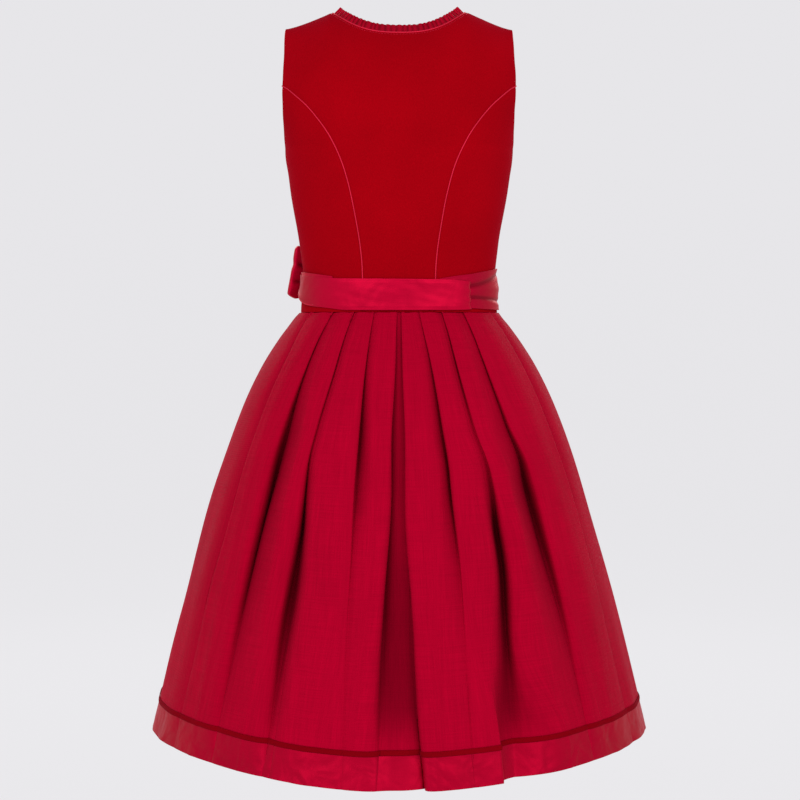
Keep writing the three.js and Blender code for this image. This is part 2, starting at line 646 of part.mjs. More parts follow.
// The whole ring at one height, from the centre back to the wearer's right and round to the left.
function ringStations(z) {
  const turned = (stations, place) => stations.map((s) => ({ ...s, angle: place(s.angle) }));
  return [
    ...turned(quarterStations(RIGHT, false, z), (a) => a),
    ...turned(quarterStations(RIGHT, true, z), (a) => 180 - a).reverse(),
    ...turned(quarterStations(LEFT, true, z), (a) => 180 + a),
    ...turned(quarterStations(LEFT, false, z), (a) => 360 - a).reverse(),
  ];
}

function skirtRing(z) {
  return ringStations(z).map(({ angle, out }) => skirtPoint(angle, z, out));
}

// Column numbers of the six gores: each runs from just after one seam to just before the next.
function goreColumns() {
  const stations = ringStations(SKIRT_TOP_Z);
  const total = stations.length;
  const firstOfPair = [];
  for (let i = 0; i < total; i += 1) {
    const here = stations[i];
    const next = stations[(i + 1) % total];
    const gap = Math.abs(next.angle - here.angle);
    if ((here.seam || next.seam) && gap < SEAM_PAIR) firstOfPair.push(i);
  }
  return firstOfPair.map((start, k) => {
    const end = firstOfPair[(k + 1) % firstOfPair.length];
    const count = (end - start + total) % total;
    return Array.from({ length: count }, (_, step) => (start + 1 + step) % total);
  });
}

const GORE_NAMES = [
  "back_side_right", "front_side_right", "front_center", "front_side_left", "back_side_left", "back_center",
];

// Gives the two columns at a gore's first seam one normal, so that their edges stay parallel.
function shareSeamNormals(columns) {
  for (const row of skirtNormals) {
    const here = columns[0];
    const across = (here + row.length - 1) % row.length;
    const shared = row[here].clone().add(row[across]).normalize();
    row[here].copy(shared);
    row[across].copy(shared);
  }
}

function mixedRing(low, high, share) {
  return low.map((point, i) => point.clone().lerp(high[i], share));
}

const ribbonTop = skirtRing(RIBBON_Z + RIBBON_HALF_WIDTH);
const ribbonBottom = skirtRing(RIBBON_Z - RIBBON_HALF_WIDTH);
const seamShare = SEAM_HALF_GAP / (2 * RIBBON_HALF_WIDTH);
const skirtGrid = [
  skirtRing(HEM_Z),
  ribbonBottom,
  mixedRing(ribbonBottom, ribbonTop, 0.5 - seamShare),
  mixedRing(ribbonBottom, ribbonTop, 0.5 + seamShare),
  ribbonTop,
  ...[...SKIRT_ROWS].reverse().map(skirtRing),
];
const skirtNormals = gridNormals(skirtGrid, true);
for (const columns of goreColumns()) shareSeamNormals(columns);
const HEM_BAND_ROWS = 3;
const RIBBON_ROWS = { bottom: 1, top: 4 };

function skirtPiece(name, columns, firstRow, lastRow, thickness, material) {
  const pick = (grid) => grid.slice(firstRow, lastRow).map((row) => columns.map((i) => row[i]));
  const outer = pick(skirtGrid);
  const inner = pick(moved(skirtGrid, skirtNormals, -thickness));
  return wallMesh(name, outer, inner, material);
}

function skirtMeshes() {
  const meshes = [];
  goreColumns().forEach((columns, k) => {
    const rows = skirtGrid.length;
    meshes.push(skirtPiece(`skirt_${GORE_NAMES[k]}`, columns, HEM_BAND_ROWS, rows, SKIRT_WALL, wovenCloth));
    meshes.push(skirtPiece(`hem_band_${GORE_NAMES[k]}`, columns, 0, HEM_BAND_ROWS, SKIRT_WALL, satin));
  });
  return meshes;
}

function velvetRibbon() {
  const rows = [ribbonBottom, ribbonTop];
  const normals = [skirtNormals[RIBBON_ROWS.bottom], skirtNormals[RIBBON_ROWS.top]];
  const near = moved(rows, normals, LAYER_GAP);
  const far = moved(rows, normals, LAYER_GAP + SATIN_WALL);
  return wallMesh("velvet_ribbon", far, near, ribbonVelvet, true);
}

// ---- Apron, tie and bow --------------------------------------------------------------------------------

// The bodice's lowest strip as columns round the body, each with its angle, its two ends and its normal.
function waistColumns() {
  const columns = [];
  const add = ({ grid, normals }, list) => {
    for (const i of list) {
      const low = grid[0][i];
      const half = backCurves.halfWidth(WAIST_Z);
      const deep = low.y < 0 ? -frontCurves.centreY(WAIST_Z) : backCurves.centreY(WAIST_Z);
      const angle = THREE.MathUtils.radToDeg(Math.atan2(-low.x / half, low.y / deep));
      columns.push({ angle, low, high: grid[1][i], normal: normals[0][i] });
    }
  };
  const all = (list) => list.map((_, i) => i);
  add(bodice.center, all(BACK_COLUMNS));
  for (const side of [LEFT, RIGHT]) {
    add(bodice[`side${side}`], all(SIDE_COLUMNS).slice(1));
    add(bodice[`front${side}`], all(FRONT_COLUMNS));
  }
  return columns.sort((a, b) => a.angle - b.angle);
}
const waist = waistColumns();

// The strip's column at any angle from -180 to 180, on the flat stretch between its neighbours.
function waistColumn(angle) {
  const wrapped = ((angle + 180 + 360) % 360) - 180;
  const next = waist.findIndex((column) => column.angle >= wrapped);
  const after = waist[Math.max(next, 0)];
  const before = waist[(Math.max(next, 0) + waist.length - 1) % waist.length];
  const span = ((after.angle - before.angle + 360) % 360) || 1;
  const share = ((wrapped - before.angle + 360) % 360) / span;
  return {
    low: before.low.clone().lerp(after.low, share),
    high: before.high.clone().lerp(after.high, share),
    normal: before.normal.clone().lerp(after.normal, share).normalize(),
  };
}

const END_CLEAR = 1; // columns within this many degrees of a strip's end are left out
const SAME_COLUMN = 0.4; // columns this close are one

// Angles from one to another, growing, with every column of the strip between them.
function waistAngles(from, to) {
  const between = [];
  for (const turn of [-360, 0, 360]) {
    for (const column of waist) {
      const angle = column.angle + turn;
      if (angle > from + END_CLEAR && angle < to - END_CLEAR) between.push(angle);
    }
  }
  between.sort((a, b) => a - b);
  const distinct = between.filter((angle, i) => i === 0 || angle - between[i - 1] > SAME_COLUMN);
  return [from, ...distinct, to];
}

function waistStrip(name, angles, bottom, top, clearance) {
  const row = (height, out) =>
    angles.map((angle, i) => {
      const { low, high, normal } = waistColumn(angle);
      const share = (height(i) - WAIST_Z) / (TIE_SKIN_Z - WAIST_Z);
      return low.clone().lerp(high, share).addScaledVector(normal, VELVET_WALL / 2 + clearance + out);
    });
  const outer = [row(bottom, SATIN_WALL), row(top, SATIN_WALL)];
  const inner = [row(bottom, 0), row(top, 0)];
  return wallMesh(name, outer, inner, satin);
}

function waistTie() {
  const angles = waistAngles(TIE_END, TIE_START);
  const rise = (i) => TIE_LIFT * THREE.MathUtils.smoothstep(-angles[i], -TIE_LIFT_START, -TIE_END);
  const narrowing = (i) => TIE_NARROW * THREE.MathUtils.smoothstep(-angles[i], QUARTER / 2, -TIE_END);
  const bottom = (i) => TIE_BOTTOM_BACK + rise(i) + narrowing(i) / 2;
  const top = (i) => TIE_BOTTOM_BACK + TIE_HEIGHT + rise(i) - narrowing(i) / 2;
  return waistStrip("waist_tie", angles, bottom, top, 2 * LAYER_GAP + SATIN_WALL);
}

function apronWaistband() {
  const angles = waistAngles(BAND_END, 360 + BAND_START);
  const top = () => TIE_BOTTOM_BACK + BAND_HEIGHT;
  return waistStrip("apron_waistband", angles, () => TIE_BOTTOM_BACK, top, LAYER_GAP);
}

function apronSkirt() {
  const steps = APRON_GATHERS * 2;
  const rows = [APRON_HEM_Z, ...[...SKIRT_ROWS].reverse().slice(0, -1), APRON_TOP_Z];
  const grid = rows.map((z) => {
    const share = (APRON_TOP_Z - z) / (APRON_TOP_Z - APRON_HEM_Z);
    const half = lerp(APRON_TOP_HALF, APRON_HEM_HALF, share);
    return Array.from({ length: steps + 1 }, (_, i) => {
      const angle = lerp(180 - half, 180 + half, i / steps);
      const gather = i % 2 === 1 ? APRON_GATHER_DEPTH * Math.sqrt(share) : 0;
      const point = skirtPoint(angle, Math.min(z, SKIRT_TOP_Z), APRON_CLEAR + gather);
      return z > SKIRT_TOP_Z ? point.setZ(z) : point;
    });
  });
  const normals = gridNormals(grid);
  return wallMesh("apron_skirt", moved(grid, normals, SATIN_WALL), grid, satin);
}

// The bow's own directions: along the waist towards the wearer's back, outwards, and up.
function bowFrame() {
  const { low, high, normal } = waistColumn(BOW.angle);
  const share = (BOW.z - WAIST_Z) / (TIE_SKIN_Z - WAIST_Z);
  const out = normal.clone().setZ(0).normalize();
  const centre = low.clone().lerp(high, share);
  centre.addScaledVector(out, VELVET_WALL / 2 + 2 * LAYER_GAP + 2 * SATIN_WALL + BOW.clear);
  const along = new THREE.Vector3(-out.y, out.x, 0);
  return { centre, along, out };
}
const bow = bowFrame();

function bowPoint(along, out, up) {
  const point = bow.centre.clone().addScaledVector(bow.along, along).addScaledVector(bow.out, out);
  return point.setZ(bow.centre.z + up);
}

// The knot's outline: shares of its half width and of its depth.
const KNOT_OUTLINE = [
  { along: -1, out: 0.45 },
  { along: -0.5, out: 0.95 },
  { along: 0, out: 1 },
  { along: 0.5, out: 0.95 },
  { along: 1, out: 0.45 },
];
// Its rows: shares of its half height and of its outline.
const KNOT_ROWS = [
  { up: -1, size: 0.75 },
  { up: -0.5, size: 1 },
  { up: 0.5, size: 1 },
  { up: 1, size: 0.75 },
];

function bowKnot() {
  const row = ({ up, size }, depth) =>
    KNOT_OUTLINE.map(({ along, out }) =>
      bowPoint(along * BOW.knotHalf * size, out * depth * size, up * BOW.knotTall),
    );
  const outer = KNOT_ROWS.map((shares) => row(shares, BOW.knotDeep));
  const inner = KNOT_ROWS.map((shares) => row(shares, 0));
  return wallMesh("bow_knot", outer, inner, satin);
}

// A loop of the bow: a ribbon that leaves the knot, turns at its end and comes back nearer the body.
function bowLoop(name, direction) {
  const start = BOW.knotHalf + LAYER_GAP;
  const path = Array.from({ length: LOOP_STEPS + 1 }, (_, k) => {
    const turn = lerp(-Math.PI, Math.PI, k / LOOP_STEPS);
    const share = 0.5 + 0.5 * Math.cos(turn);
    const apart = LOOP_PINCH + LOOP_SWELL * Math.abs(Math.sin(turn));
    const out = LOOP.depth * (0.5 - Math.sign(turn) * apart);
    return { along: lerp(start, LOOP.length, share), out, share };
  });
  const row = (level, inset) =>
    path.map(({ along, out, share }, k) => {
      const tall = lerp(LOOP.pinchHalf, LOOP.endHalf, Math.sqrt(share));
      const up = level * tall + LOOP.rise * share;
      const before = path[Math.max(k - 1, 0)];
      const after = path[Math.min(k + 1, LOOP_STEPS)];
      const run = new THREE.Vector2(after.along - before.along, after.out - before.out).normalize();
      const lean = -LOOP.lean * level * tall * share;
      return bowPoint(direction * (along + lean - inset * -run.y), out + inset * -run.x, up);
    });
  const levels = [-1, 0, 1];
  return wallMesh(name, levels.map((v) => row(v, 0)), levels.map((v) => row(v, SATIN_WALL)), satin);
}

function bowTail({ name, angle, spread, half, length, layer }) {
  const top = BOW.z - BOW.knotTall - LAYER_GAP;
  const clear = APRON_CLEAR + APRON_GATHER_DEPTH + SATIN_WALL + TAIL_CLEAR + layer;
  const grid = Array.from({ length: TAIL_ROWS + 1 }, (_, j) => {
    const share = 1 - j / TAIL_ROWS;
    const z = top - length * share;
    const reach = lerp(TAIL_PINCH, 1, Math.min(share / TAIL_FULL_AT, 1)) * half;
    const onSkirt = Math.min(z, SKIRT_TOP_Z);
    const middle = lerp(BOW.angle, angle + spread * share, Math.min(share / TAIL_APART_AT, 1));
    const per = degreesPerMillimetre(middle, onSkirt, true);
    return [-1, 0, 1].map((s) => {
      const settle = clear + (s === 0 ? TAIL_CROWN : 0);
      return skirtPoint(middle + s * reach * per, onSkirt, settle).setZ(z - TAIL_SLANT * s * share);
    });
  });
  const normals = gridNormals(grid);
  return wallMesh(name, moved(grid, normals, SATIN_WALL), grid, satin);
}

function apronMeshes() {
  return [
    apronSkirt(),
    apronWaistband(),
    waistTie(),
    bowKnot(),
    bowLoop("bow_loop_back", 1),
    bowLoop("bow_loop_front", -1),
    ...TAILS.map(bowTail),
  ];
}

// ---- The dress ---------------------------------------------------------------------------------------

const dirndl = new THREE.Group();
dirndl.add(...bodiceMeshes(), ...trimMeshes(), ...skirtMeshes(), velvetRibbon(), ...apronMeshes());

export default dirndl;
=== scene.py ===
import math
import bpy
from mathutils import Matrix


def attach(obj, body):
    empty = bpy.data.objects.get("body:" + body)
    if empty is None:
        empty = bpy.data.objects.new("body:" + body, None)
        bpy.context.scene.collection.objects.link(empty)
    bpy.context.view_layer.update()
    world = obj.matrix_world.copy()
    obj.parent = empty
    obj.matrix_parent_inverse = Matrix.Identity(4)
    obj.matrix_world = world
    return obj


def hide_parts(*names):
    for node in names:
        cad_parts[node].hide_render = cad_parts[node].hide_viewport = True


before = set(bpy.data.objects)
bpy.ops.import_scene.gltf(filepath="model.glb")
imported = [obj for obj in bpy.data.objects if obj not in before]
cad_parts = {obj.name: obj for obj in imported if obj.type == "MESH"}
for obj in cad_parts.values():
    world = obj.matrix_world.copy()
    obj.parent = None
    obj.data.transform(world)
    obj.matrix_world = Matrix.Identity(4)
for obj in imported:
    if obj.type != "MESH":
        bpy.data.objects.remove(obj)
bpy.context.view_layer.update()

# A knee-length dirndl, hollow and filled out as worn: piped velvet bodice with a frilled neckline,
# pleated six-gore skirt with a velvet ribbon and satin hem band, satin apron, tie and bow.
# Sizes are in millimetres and angles in degrees until a mesh is made. The frame is the CAD part's:
# +Z up, front -Y, wearer's left +X. Angles round the body start at the centre back and grow
# towards the wearer's right.
from types import SimpleNamespace

import bpy
import numpy as np
from mathutils import Vector

MM = 0.001
BODY = "root"
LEFT, RIGHT = 1, -1
SIDE_NAME = {LEFT: "left", RIGHT: "right"}

# ---- Camera: straight behind the dress, level with the top of the skirt, tilted down a little ----
IMAGE_WIDE = 800
PIXEL = 1.35 * MM  # one pixel of the image, in the plane of the side seams
CAMERA_AWAY = 2.34
CAMERA_X = -0.0014
CAMERA_Z = -0.4185
CAMERA_TILT = 2.31
SENSOR = 36.0

# ---- Sizes of the CAD part ----
VELVET_WALL = 2.0
WAIST_Z = -395.0
UNDERARM_Z = -175.0
PRINCESS_TOP_Z = -98.0
SHOULDER_TIP_Z = -18.0
NECK_POINT_Z = 4.0
NECK_SHARE = 0.6
BACK_NECK_Z = -34.0
FRONT_NECK_Z = -160.0
BACK_NECK_POWER = 2.55
FRONT_NECK_POWER = 3.2
SHOULDER_SEAM_Y = 4.0
SHOULDER_HOLLOW = 1.25
SHOULDER_ROLL = 80.0

# Rows of height, half width, y at the sides and at the centre, and turn of the side in degrees.
BODICE_BACK = (
    (-395, 131.0, 0, 86, 90),
    (-350, 128.5, 0, 84, 90),
    (-305, 132.5, 0, 87, 90),
    (-260, 140.0, 0, 92, 90),
    (-215, 147.0, 0, 97, 90),
    (-175, 152.0, 0, 100, 90),
    (-171, 152.0, 11, 100, 87),
    (-160, 152.0, 22, 101, 82),
    (-140, 152.0, 33, 101, 75),
    (-100, 152.5, 46, 99, 66),
    (-60, 151.5, 46, 94, 61),
    (-25, 151.0, 40, 87, 58),
    (12, 151.0, 32, 79, 57),
)
BODICE_FRONT = (
    (-395, 131.0, 0, -101, 90),
    (-350, 128.5, 0, -100, 90),
    (-305, 132.5, 0, -106, 90),
    (-260, 140.0, 0, -117, 90),
    (-215, 147.0, 0, -125, 90),
    (-175, 152.0, 0, -127, 90),
    (-171, 151.5, -10, -127, 87),
    (-160, 150.0, -19, -126, 83),
    (-140, 146.0, -28, -124, 77),
    (-100, 140.0, -38, -116, 70),
    (-60, 140.5, -38, -104, 64),
    (-25, 149.3, -32, -92, 60),
    (-18, 151.0, -31, -89, 59.5),
    (12, 151.0, -26, -78, 58),
)
PRINCESS_SEAM = (  # height and distance from the centre back
    (-395, 46), (-340, 47.5), (-278, 55), (-214, 69), (-168, 89), (-128, 118), (-98, 150),
)
BUST = {"x": 76.0, "z": -212.0, "wide": 44.0, "tall": 58.0, "deep": 11.0}

SKIRT_TOP_Z = -395.4
HEM_Z = -968.0
SKIRT = (  # height and half width
    (SKIRT_TOP_Z, 134), (-405, 142), (-432, 162.5), (-470, 186), (-520, 209.5), (-600, 238),
    (-700, 266.5), (-800, 293), (HEM_Z, 333),
)
SKIRT_WAIST_BACK = 89.0
SKIRT_WAIST_FRONT = 104.0
HEM_DEPTH = 300.0
HEM_LIFT = 19.0
RIBBON_Z = HEM_Z + 42.0
RIBBON_HALF_WIDTH = 3.2

# Folds of a quarter of the skirt, from the centre to the side: the kind of each, its angle at seven
# heights and its depth at eight. A fold's front edge faces the centre, apart from the side fold's,
# which faces the side seam.
FOLD_TURN_HEIGHTS = (-395, -457, -540, -600, -700, -800, -968)
FOLD_HEIGHTS = (-395, -470, -560, -620, -680, -740, -820, -968)
FOLDS = {
    LEFT: (
        ("box", (1.3, 1.3, 2.0, 2.4, 2.8, 3.3, 4.5), (4, 10, 15, 18, 21, 23, 21, 4)),
        ("near", (14, 13.5, 13.1, 12.9, 12.6, 12.3, 12), (4, 9, 17, 12, 5, 3, 2, 1)),
        ("seam", (26.2, 26.2, 28.4, 29.8, 29.6, 30, 30), (4, 6, 6, 16, 27, 26, 18, 2)),
        ("far", (40.6, 40.9, 43.1, 44.7, 45.2, 44.8, 44.5), (4, 9, 23, 27, 24, 19, 10, 1)),
        ("side", (61, 56, 57, 58, 59, 60, 60), (4, 4, 3, 3, 3, 2, 2, 1)),
    ),
    RIGHT: (
        ("box", (1.3, 1.3, 1.6, 1.9, 2.3, 2.7, 5), (4, 9, 10, 10, 12, 15, 18, 15)),
        ("near", (11.2, 13, 14.6, 15.8, 15.9, 15.8, 15.8), (3, 9, 15, 18, 10, 4, 2, 1)),
        ("seam", (24.8, 24.2, 25.8, 29.1, 30.3, 28.1, 25.7), (5, 9, 6, 14, 29, 28, 23, 17)),
        ("far", (39.2, 37.9, 40.5, 45.2, 46.2, 46.7, 47), (5, 8, 14, 28, 24, 17, 9, 1)),
        ("side", (65, 63, 64, 65, 66, 66, 66), (4, 4, 3, 3, 3, 2, 2, 1)),
    ),
}
CRISP_FOLDS = ((RIGHT, "box"), (RIGHT, "seam"))  # stay sharp down to the hem, where the others die away
STEP_FOLD = (RIGHT, "seam")  # ends in a step in the hem
# Widths of a fold's long slope, at the same heights as the depths.
INNER_WIDTHS = {
    "box": (12, 12, 12, 12, 12, 12, 12, 12),
    "near": (10, 13, 20, 24, 26, 30, 34, 34),
    "seam": (12, 13, 16, 20, 22, 26, 32, 34),
    "far": (12, 18, 36, 42, 44, 44, 42, 40),
    "side": (12, 18, 28, 30, 32, 34, 36, 36),
}
OUTER_WIDTH_HEM = 32.0  # of its short slope where the fold dies away towards the hem
STEP_OUTER_WIDTH = 75.0  # and beside the step in the hem
DEEPEST = 26.0  # the painted shade in a fold is fullest at this depth and beyond, where no light reaches the cloth
LIT_BELOW, DARK_ABOVE = 25.0, 95.0  # heights over the hem between which the painted shade in folds fades in
GORE_SEAM = 0.55  # depth of the groove along a seam between gores

# Satin tie, apron and bow.
BOW = {"angle": -138.0, "z": -347.0, "half": 13.0, "tall": 15.0, "deep": 9.0, "out": 5.2}
LOOP = {"length": 66.0, "depth": 12.0, "end_half": 36.0, "pinch_half": 9.0, "rise": 8.0, "lean": 0.2}


def curve_through(xs, ys):
    """A smooth curve through points that never overshoots them."""
    order = np.argsort(xs)
    xs = np.asarray(xs, float)[order]
    ys = np.asarray(ys, float)[order]
    slopes = np.diff(ys) / np.diff(xs)
    product = slopes[:-1] * slopes[1:]
    total = np.where(product > 0, slopes[:-1] + slopes[1:], 1.0)
    inner = np.where(product > 0, 2 * product / total, 0.0)
    tangents = np.concatenate([slopes[:1], inner, slopes[-1:]])

    def at(x):
        x = np.asarray(x, float)
        i = np.clip(np.searchsorted(xs, x, side="right") - 1, 0, len(xs) - 2)
        span = xs[i + 1] - xs[i]
        t = np.clip((x - xs[i]) / span, 0, 1)
        keep = (1 + 2 * t) * (1 - t) ** 2
        ends = keep * ys[i] + (1 - keep) * ys[i + 1]
        return ends + span * (t * (1 - t) ** 2 * tangents[i] + t * t * (t - 1) * tangents[i + 1])

    return at


def table_curves(rows, *names):
    """A curve for each column of a table, over the first."""
    first, *columns = zip(*rows)
    return {name: curve_through(first, column) for name, column in zip(names, columns)}


def mix(a, b, t):
    return a + (b - a) * t


def smooth(low, high, x):
    t = np.clip((x - low) / (high - low), 0, 1)
    return t * t * (3 - 2 * t)


def unit(v):
    return v / np.maximum(np.linalg.norm(v, axis=-1, keepdims=True), 1e-9)


def bell(x, middle, wide):
    """A soft bump of height 1 round a middle."""
    return np.exp(-(((x - middle) / wide) ** 2))


def points(x, y, z):
    return np.stack(np.broadcast_arrays(x, y, z), axis=-1).astype(float)


def distances(path):
    """How far along a path each of its points lies."""
    return np.concatenate([[0], np.cumsum(np.linalg.norm(np.diff(path, axis=0), axis=-1))])


class Ripple:
    """Soft unevenness: a sum of waves over places in millimetres, between about -1 and 1."""

    WAVES = 9

    def __init__(self, seed, size, stretch=(1.0, 1.0, 1.0)):
        rng = np.random.default_rng(seed)
        directions = unit(rng.normal(size=(self.WAVES, 3)))
        lengths = size * rng.uniform(0.6, 1.6, size=(self.WAVES, 1))
        self.waves = directions / lengths * 2 * math.pi / np.asarray(stretch)
        self.phases = rng.uniform(0, 2 * math.pi, size=self.WAVES)

    def __call__(self, p):
        return np.sin(p @ self.waves.T + self.phases).sum(axis=-1) / math.sqrt(self.WAVES)


# ---- Grids into meshes ----


def grid_normals(grid, wrap=False):
    if wrap:
        along = np.roll(grid, -1, axis=1) - np.roll(grid, 1, axis=1)
    else:
        along = np.gradient(grid, axis=1)
    return unit(np.cross(along, np.gradient(grid, axis=0)))


def fine_edges(grid, share=0.12):
    """The grid with an extra row or column close to each of its four edges."""
    for axis in (0, 1):
        first, second, before, last = (np.take(grid, [k], axis) for k in (0, 1, -2, -1))
        inner = np.take(grid, range(1, grid.shape[axis] - 1), axis)
        rows = [first, mix(first, second, share), inner, mix(last, before, share), last]
        grid = np.concatenate(rows, axis)
    return grid


def grid_quads(rows, columns, wrap=False, closed=False):
    """Corners of the quads between a grid's points, joined round along its rows or its columns."""
    index = np.arange(rows * columns).reshape(rows, columns)
    if wrap:
        index = np.concatenate([index, index[:, :1]], axis=1)
    if closed:
        index = np.concatenate([index, index[:1]], axis=0)
    corners = [index[:-1, :-1], index[:-1, 1:], index[1:, 1:], index[1:, :-1]]
    return np.stack(corners, axis=-1).reshape(-1, 4)


def add_object(name, vertices, faces, material, uvs=None):
    mesh = bpy.data.meshes.new(name)
    mesh.from_pydata([tuple(v) for v in np.asarray(vertices) * MM], [], [tuple(f) for f in faces])
    if uvs is not None:
        layer = mesh.uv_layers.new(name="cloth")
        corners = np.empty(len(mesh.loops), dtype=np.int32)
        mesh.loops.foreach_get("vertex_index", corners)
        layer.data.foreach_set("uv", np.asarray(uvs, np.float32)[corners].ravel())
    mesh.materials.append(material)
    mesh.shade_smooth()
    mesh.update()
    obj = bpy.data.objects.new(name, mesh)
    bpy.context.scene.collection.objects.link(obj)
    return obj


def cloth(name, grid, material, facing=1, wall=1.0, wrap=False, offset=-1.0, fold=None):
    """A thin sheet of cloth on a grid of points, thickened towards its inside."""
    if fold is None:
        fold = np.zeros(grid.shape[:2])
    if not wrap:
        grid, fold = fine_edges(grid), fine_edges(fold)
    rows, columns = grid.shape[:2]
    uv = np.meshgrid(distances(grid[rows // 2]), distances(grid[:, columns // 2]))
    uvs = np.stack(uv, axis=-1).reshape(-1, 2) * MM
    quads = grid_quads(rows, columns, wrap)
    if facing < 0:
        quads = quads[:, ::-1]
    obj = add_object(name, grid.reshape(-1, 3), quads, material, uvs)
    # The fold attribute holds painted shade, read by the woven and satin materials.
    deep = obj.data.attributes.new("fold", "FLOAT", "POINT")
    deep.data.foreach_set("value", fold.ravel().astype(np.float32))
    solid = obj.modifiers.new("wall", "SOLIDIFY")
    solid.thickness = wall * MM
    solid.offset = offset
    solid.use_quality_normals = True
    return obj


def cord(name, path, radius, material, closed=False, sides=8):
    """A round cord along a path of points."""
    if closed:
        along = unit(np.roll(path, -1, axis=0) - np.roll(path, 1, axis=0))
    else:
        along = unit(np.gradient(path, axis=0))
    across = np.empty_like(along)
    across[0] = unit(np.cross(along[0], np.array([0.31, 0.52, 0.79])))
    for k in range(1, len(path)):
        across[k] = unit(across[k - 1] - along[k] * (across[k - 1] @ along[k]))
    out = np.cross(along, across)
    turns = np.linspace(0, 2 * math.pi, sides, endpoint=False)
    ring = across[:, None] * np.cos(turns)[:, None] + out[:, None] * np.sin(turns)[:, None]
    vertices = (path[:, None] + ring * radius).reshape(-1, 3)
    faces = list(grid_quads(len(path), sides, wrap=True, closed=closed))
    if not closed:
        faces += [range(sides)[::-1], range(len(vertices) - sides, len(vertices))]
    return add_object(name, vertices, faces, material)


def place(obj, node):
    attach(obj, BODY)
    if node is not None:
        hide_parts(node)
    return obj


# ---- Materials ----


class Nodes:
    """A few helpers around one material's node tree."""

    def __init__(self, name):
        self.material = bpy.data.materials.new(name)
        self.material.use_nodes = True
        self.tree = self.material.node_tree
        self.shader = self.tree.nodes["Principled BSDF"]

    def set(self, node, inputs):
        """Give a node's inputs their values, or link them where a socket is given."""
        for key, value in inputs.items():
            if isinstance(value, bpy.types.NodeSocket):
                self.tree.links.new(value, node.inputs[key])
            else:
                node.inputs[key].default_value = value

    def new(self, kind, inputs, **settings):
        node = self.tree.nodes.new(kind)
        for key, value in settings.items():
            setattr(node, key, value)
        self.set(node, inputs)
        return node

    def coordinates(self, kind):
        return self.new("ShaderNodeTexCoord", {}).outputs[kind]

    def stretched(self, source, scale):
        return self.new("ShaderNodeMapping", {"Vector": source, "Scale": scale}).outputs["Vector"]

    def noise(self, source, scale, detail=2.0, roughness=0.5, distortion=0.0):
        inputs = {"Vector": source, "Scale": scale, "Detail": detail, "Roughness": roughness,
                  "Distortion": distortion}
        return self.new("ShaderNodeTexNoise", inputs).outputs["Fac"]

    def add(self, a, b):
        return self.new("ShaderNodeMath", {0: a, 1: b}, operation="ADD").outputs[0]

    def product(self, a, b):
        return self.new("ShaderNodeMath", {0: a, 1: b}, operation="MULTIPLY").outputs[0]

    def ramp(self, source, low, high, first, last):
        inputs = {"Value": source, "From Min": low, "From Max": high, "To Min": first, "To Max": last}
        return self.new("ShaderNodeMapRange", inputs).outputs["Result"]

    def varied(self, source, by, low=0.3, high=0.7):
        """A factor that strays from 1 by so much either way."""
        return self.ramp(source, low, high, 1 - by, 1 + by)

    def shaded(self, color, factor):
        inputs = {0: color, "Scale": factor}
        return self.new("ShaderNodeVectorMath", inputs, operation="SCALE").outputs["Vector"]

    def bump(self, height, strength, distance, under=None):
        inputs = {"Height": height, "Strength": strength, "Distance": distance}
        if under is not None:
            inputs["Normal"] = under
        return self.new("ShaderNodeBump", inputs).outputs["Normal"]

    def painted_fold_shade(self, factor, least):
        """Painted shade: the factor, falling to a share of itself as the fold attribute rises to 1, at the
        bottom of a fold and other shaded places.
        """
        deep = self.new("ShaderNodeAttribute", {}, attribute_name="fold").outputs["Fac"]
        return self.product(factor, self.ramp(deep, 0.0, 1.0, 1.0, least))


def srgb(r, g, b):
    def channel(c):
        c /= 255
        return c / 12.92 if c <= 0.04045 else ((c + 0.055) / 1.055) ** 2.4

    return (channel(r), channel(g), channel(b))


def velvet_material(name, color, sheen, tint):
    n = Nodes(name)
    where = n.coordinates("Object")
    nap = n.noise(where, 9.0)
    pile = n.noise(n.stretched(where, (900.0, 900.0, 420.0)), 1.0, detail=3.0, roughness=0.7)
    factor = n.product(n.varied(nap, 0.08), n.varied(pile, 0.12))
    n.set(n.shader, {
        "Base Color": n.shaded(color, factor), "Normal": n.bump(pile, 0.35, 0.0006), "Roughness": 0.95,
        "Specular IOR Level": 0.02, "Sheen Weight": sheen, "Sheen Roughness": 0.45,
        "Sheen Tint": (*tint, 1.0),
    })
    return n.material


WEAVE_SCALE = 110.0  # of Blender's wave texture, for 2200 threads in a metre


def woven_material(name, color):
    """Plain weave with thicker threads here and there, threads along the cloth's own u and v."""
    n = Nodes(name)
    uv = n.coordinates("UV")
    wave = {"Vector": uv, "Scale": WEAVE_SCALE, "Distortion": 0.6, "Detail": 1.0}
    warp, weft = (
        n.new("ShaderNodeTexWave", wave, wave_type="BANDS", bands_direction=axis).outputs["Fac"]
        for axis in "XY"
    )
    slub_down, slub_across = (
        n.noise(n.stretched(uv, scale), 1.0, roughness=0.6) for scale in ((1100, 22, 1), (22, 1100, 1))
    )
    threads = n.add(slub_down, slub_across)
    streak = n.noise(n.stretched(uv, (160.0, 6.0, 1.0)), 1.0)
    broad = n.noise(n.coordinates("Object"), 7.0)
    factor = n.product(n.varied(threads, 0.13, 0.7, 1.3), n.varied(streak, 0.04))
    factor = n.product(factor, n.varied(broad, 0.04))
    under = n.bump(threads, 0.35, 0.0008)
    # The base colour is darkened by painted shade from the fold attribute.
    n.set(n.shader, {
        "Base Color": n.shaded(color, n.painted_fold_shade(factor, 0.3)),
        "Normal": n.bump(n.add(warp, weft), 0.25, 0.0002, under), "Roughness": 0.75,
        "Specular IOR Level": 0.05, "Specular Tint": (1.0, 0.1, 0.2, 1.0), "Sheen Weight": 0.03,
        "Sheen Roughness": 0.4, "Sheen Tint": (0.8, 0.1, 0.2, 1.0),
    })
    return n.material


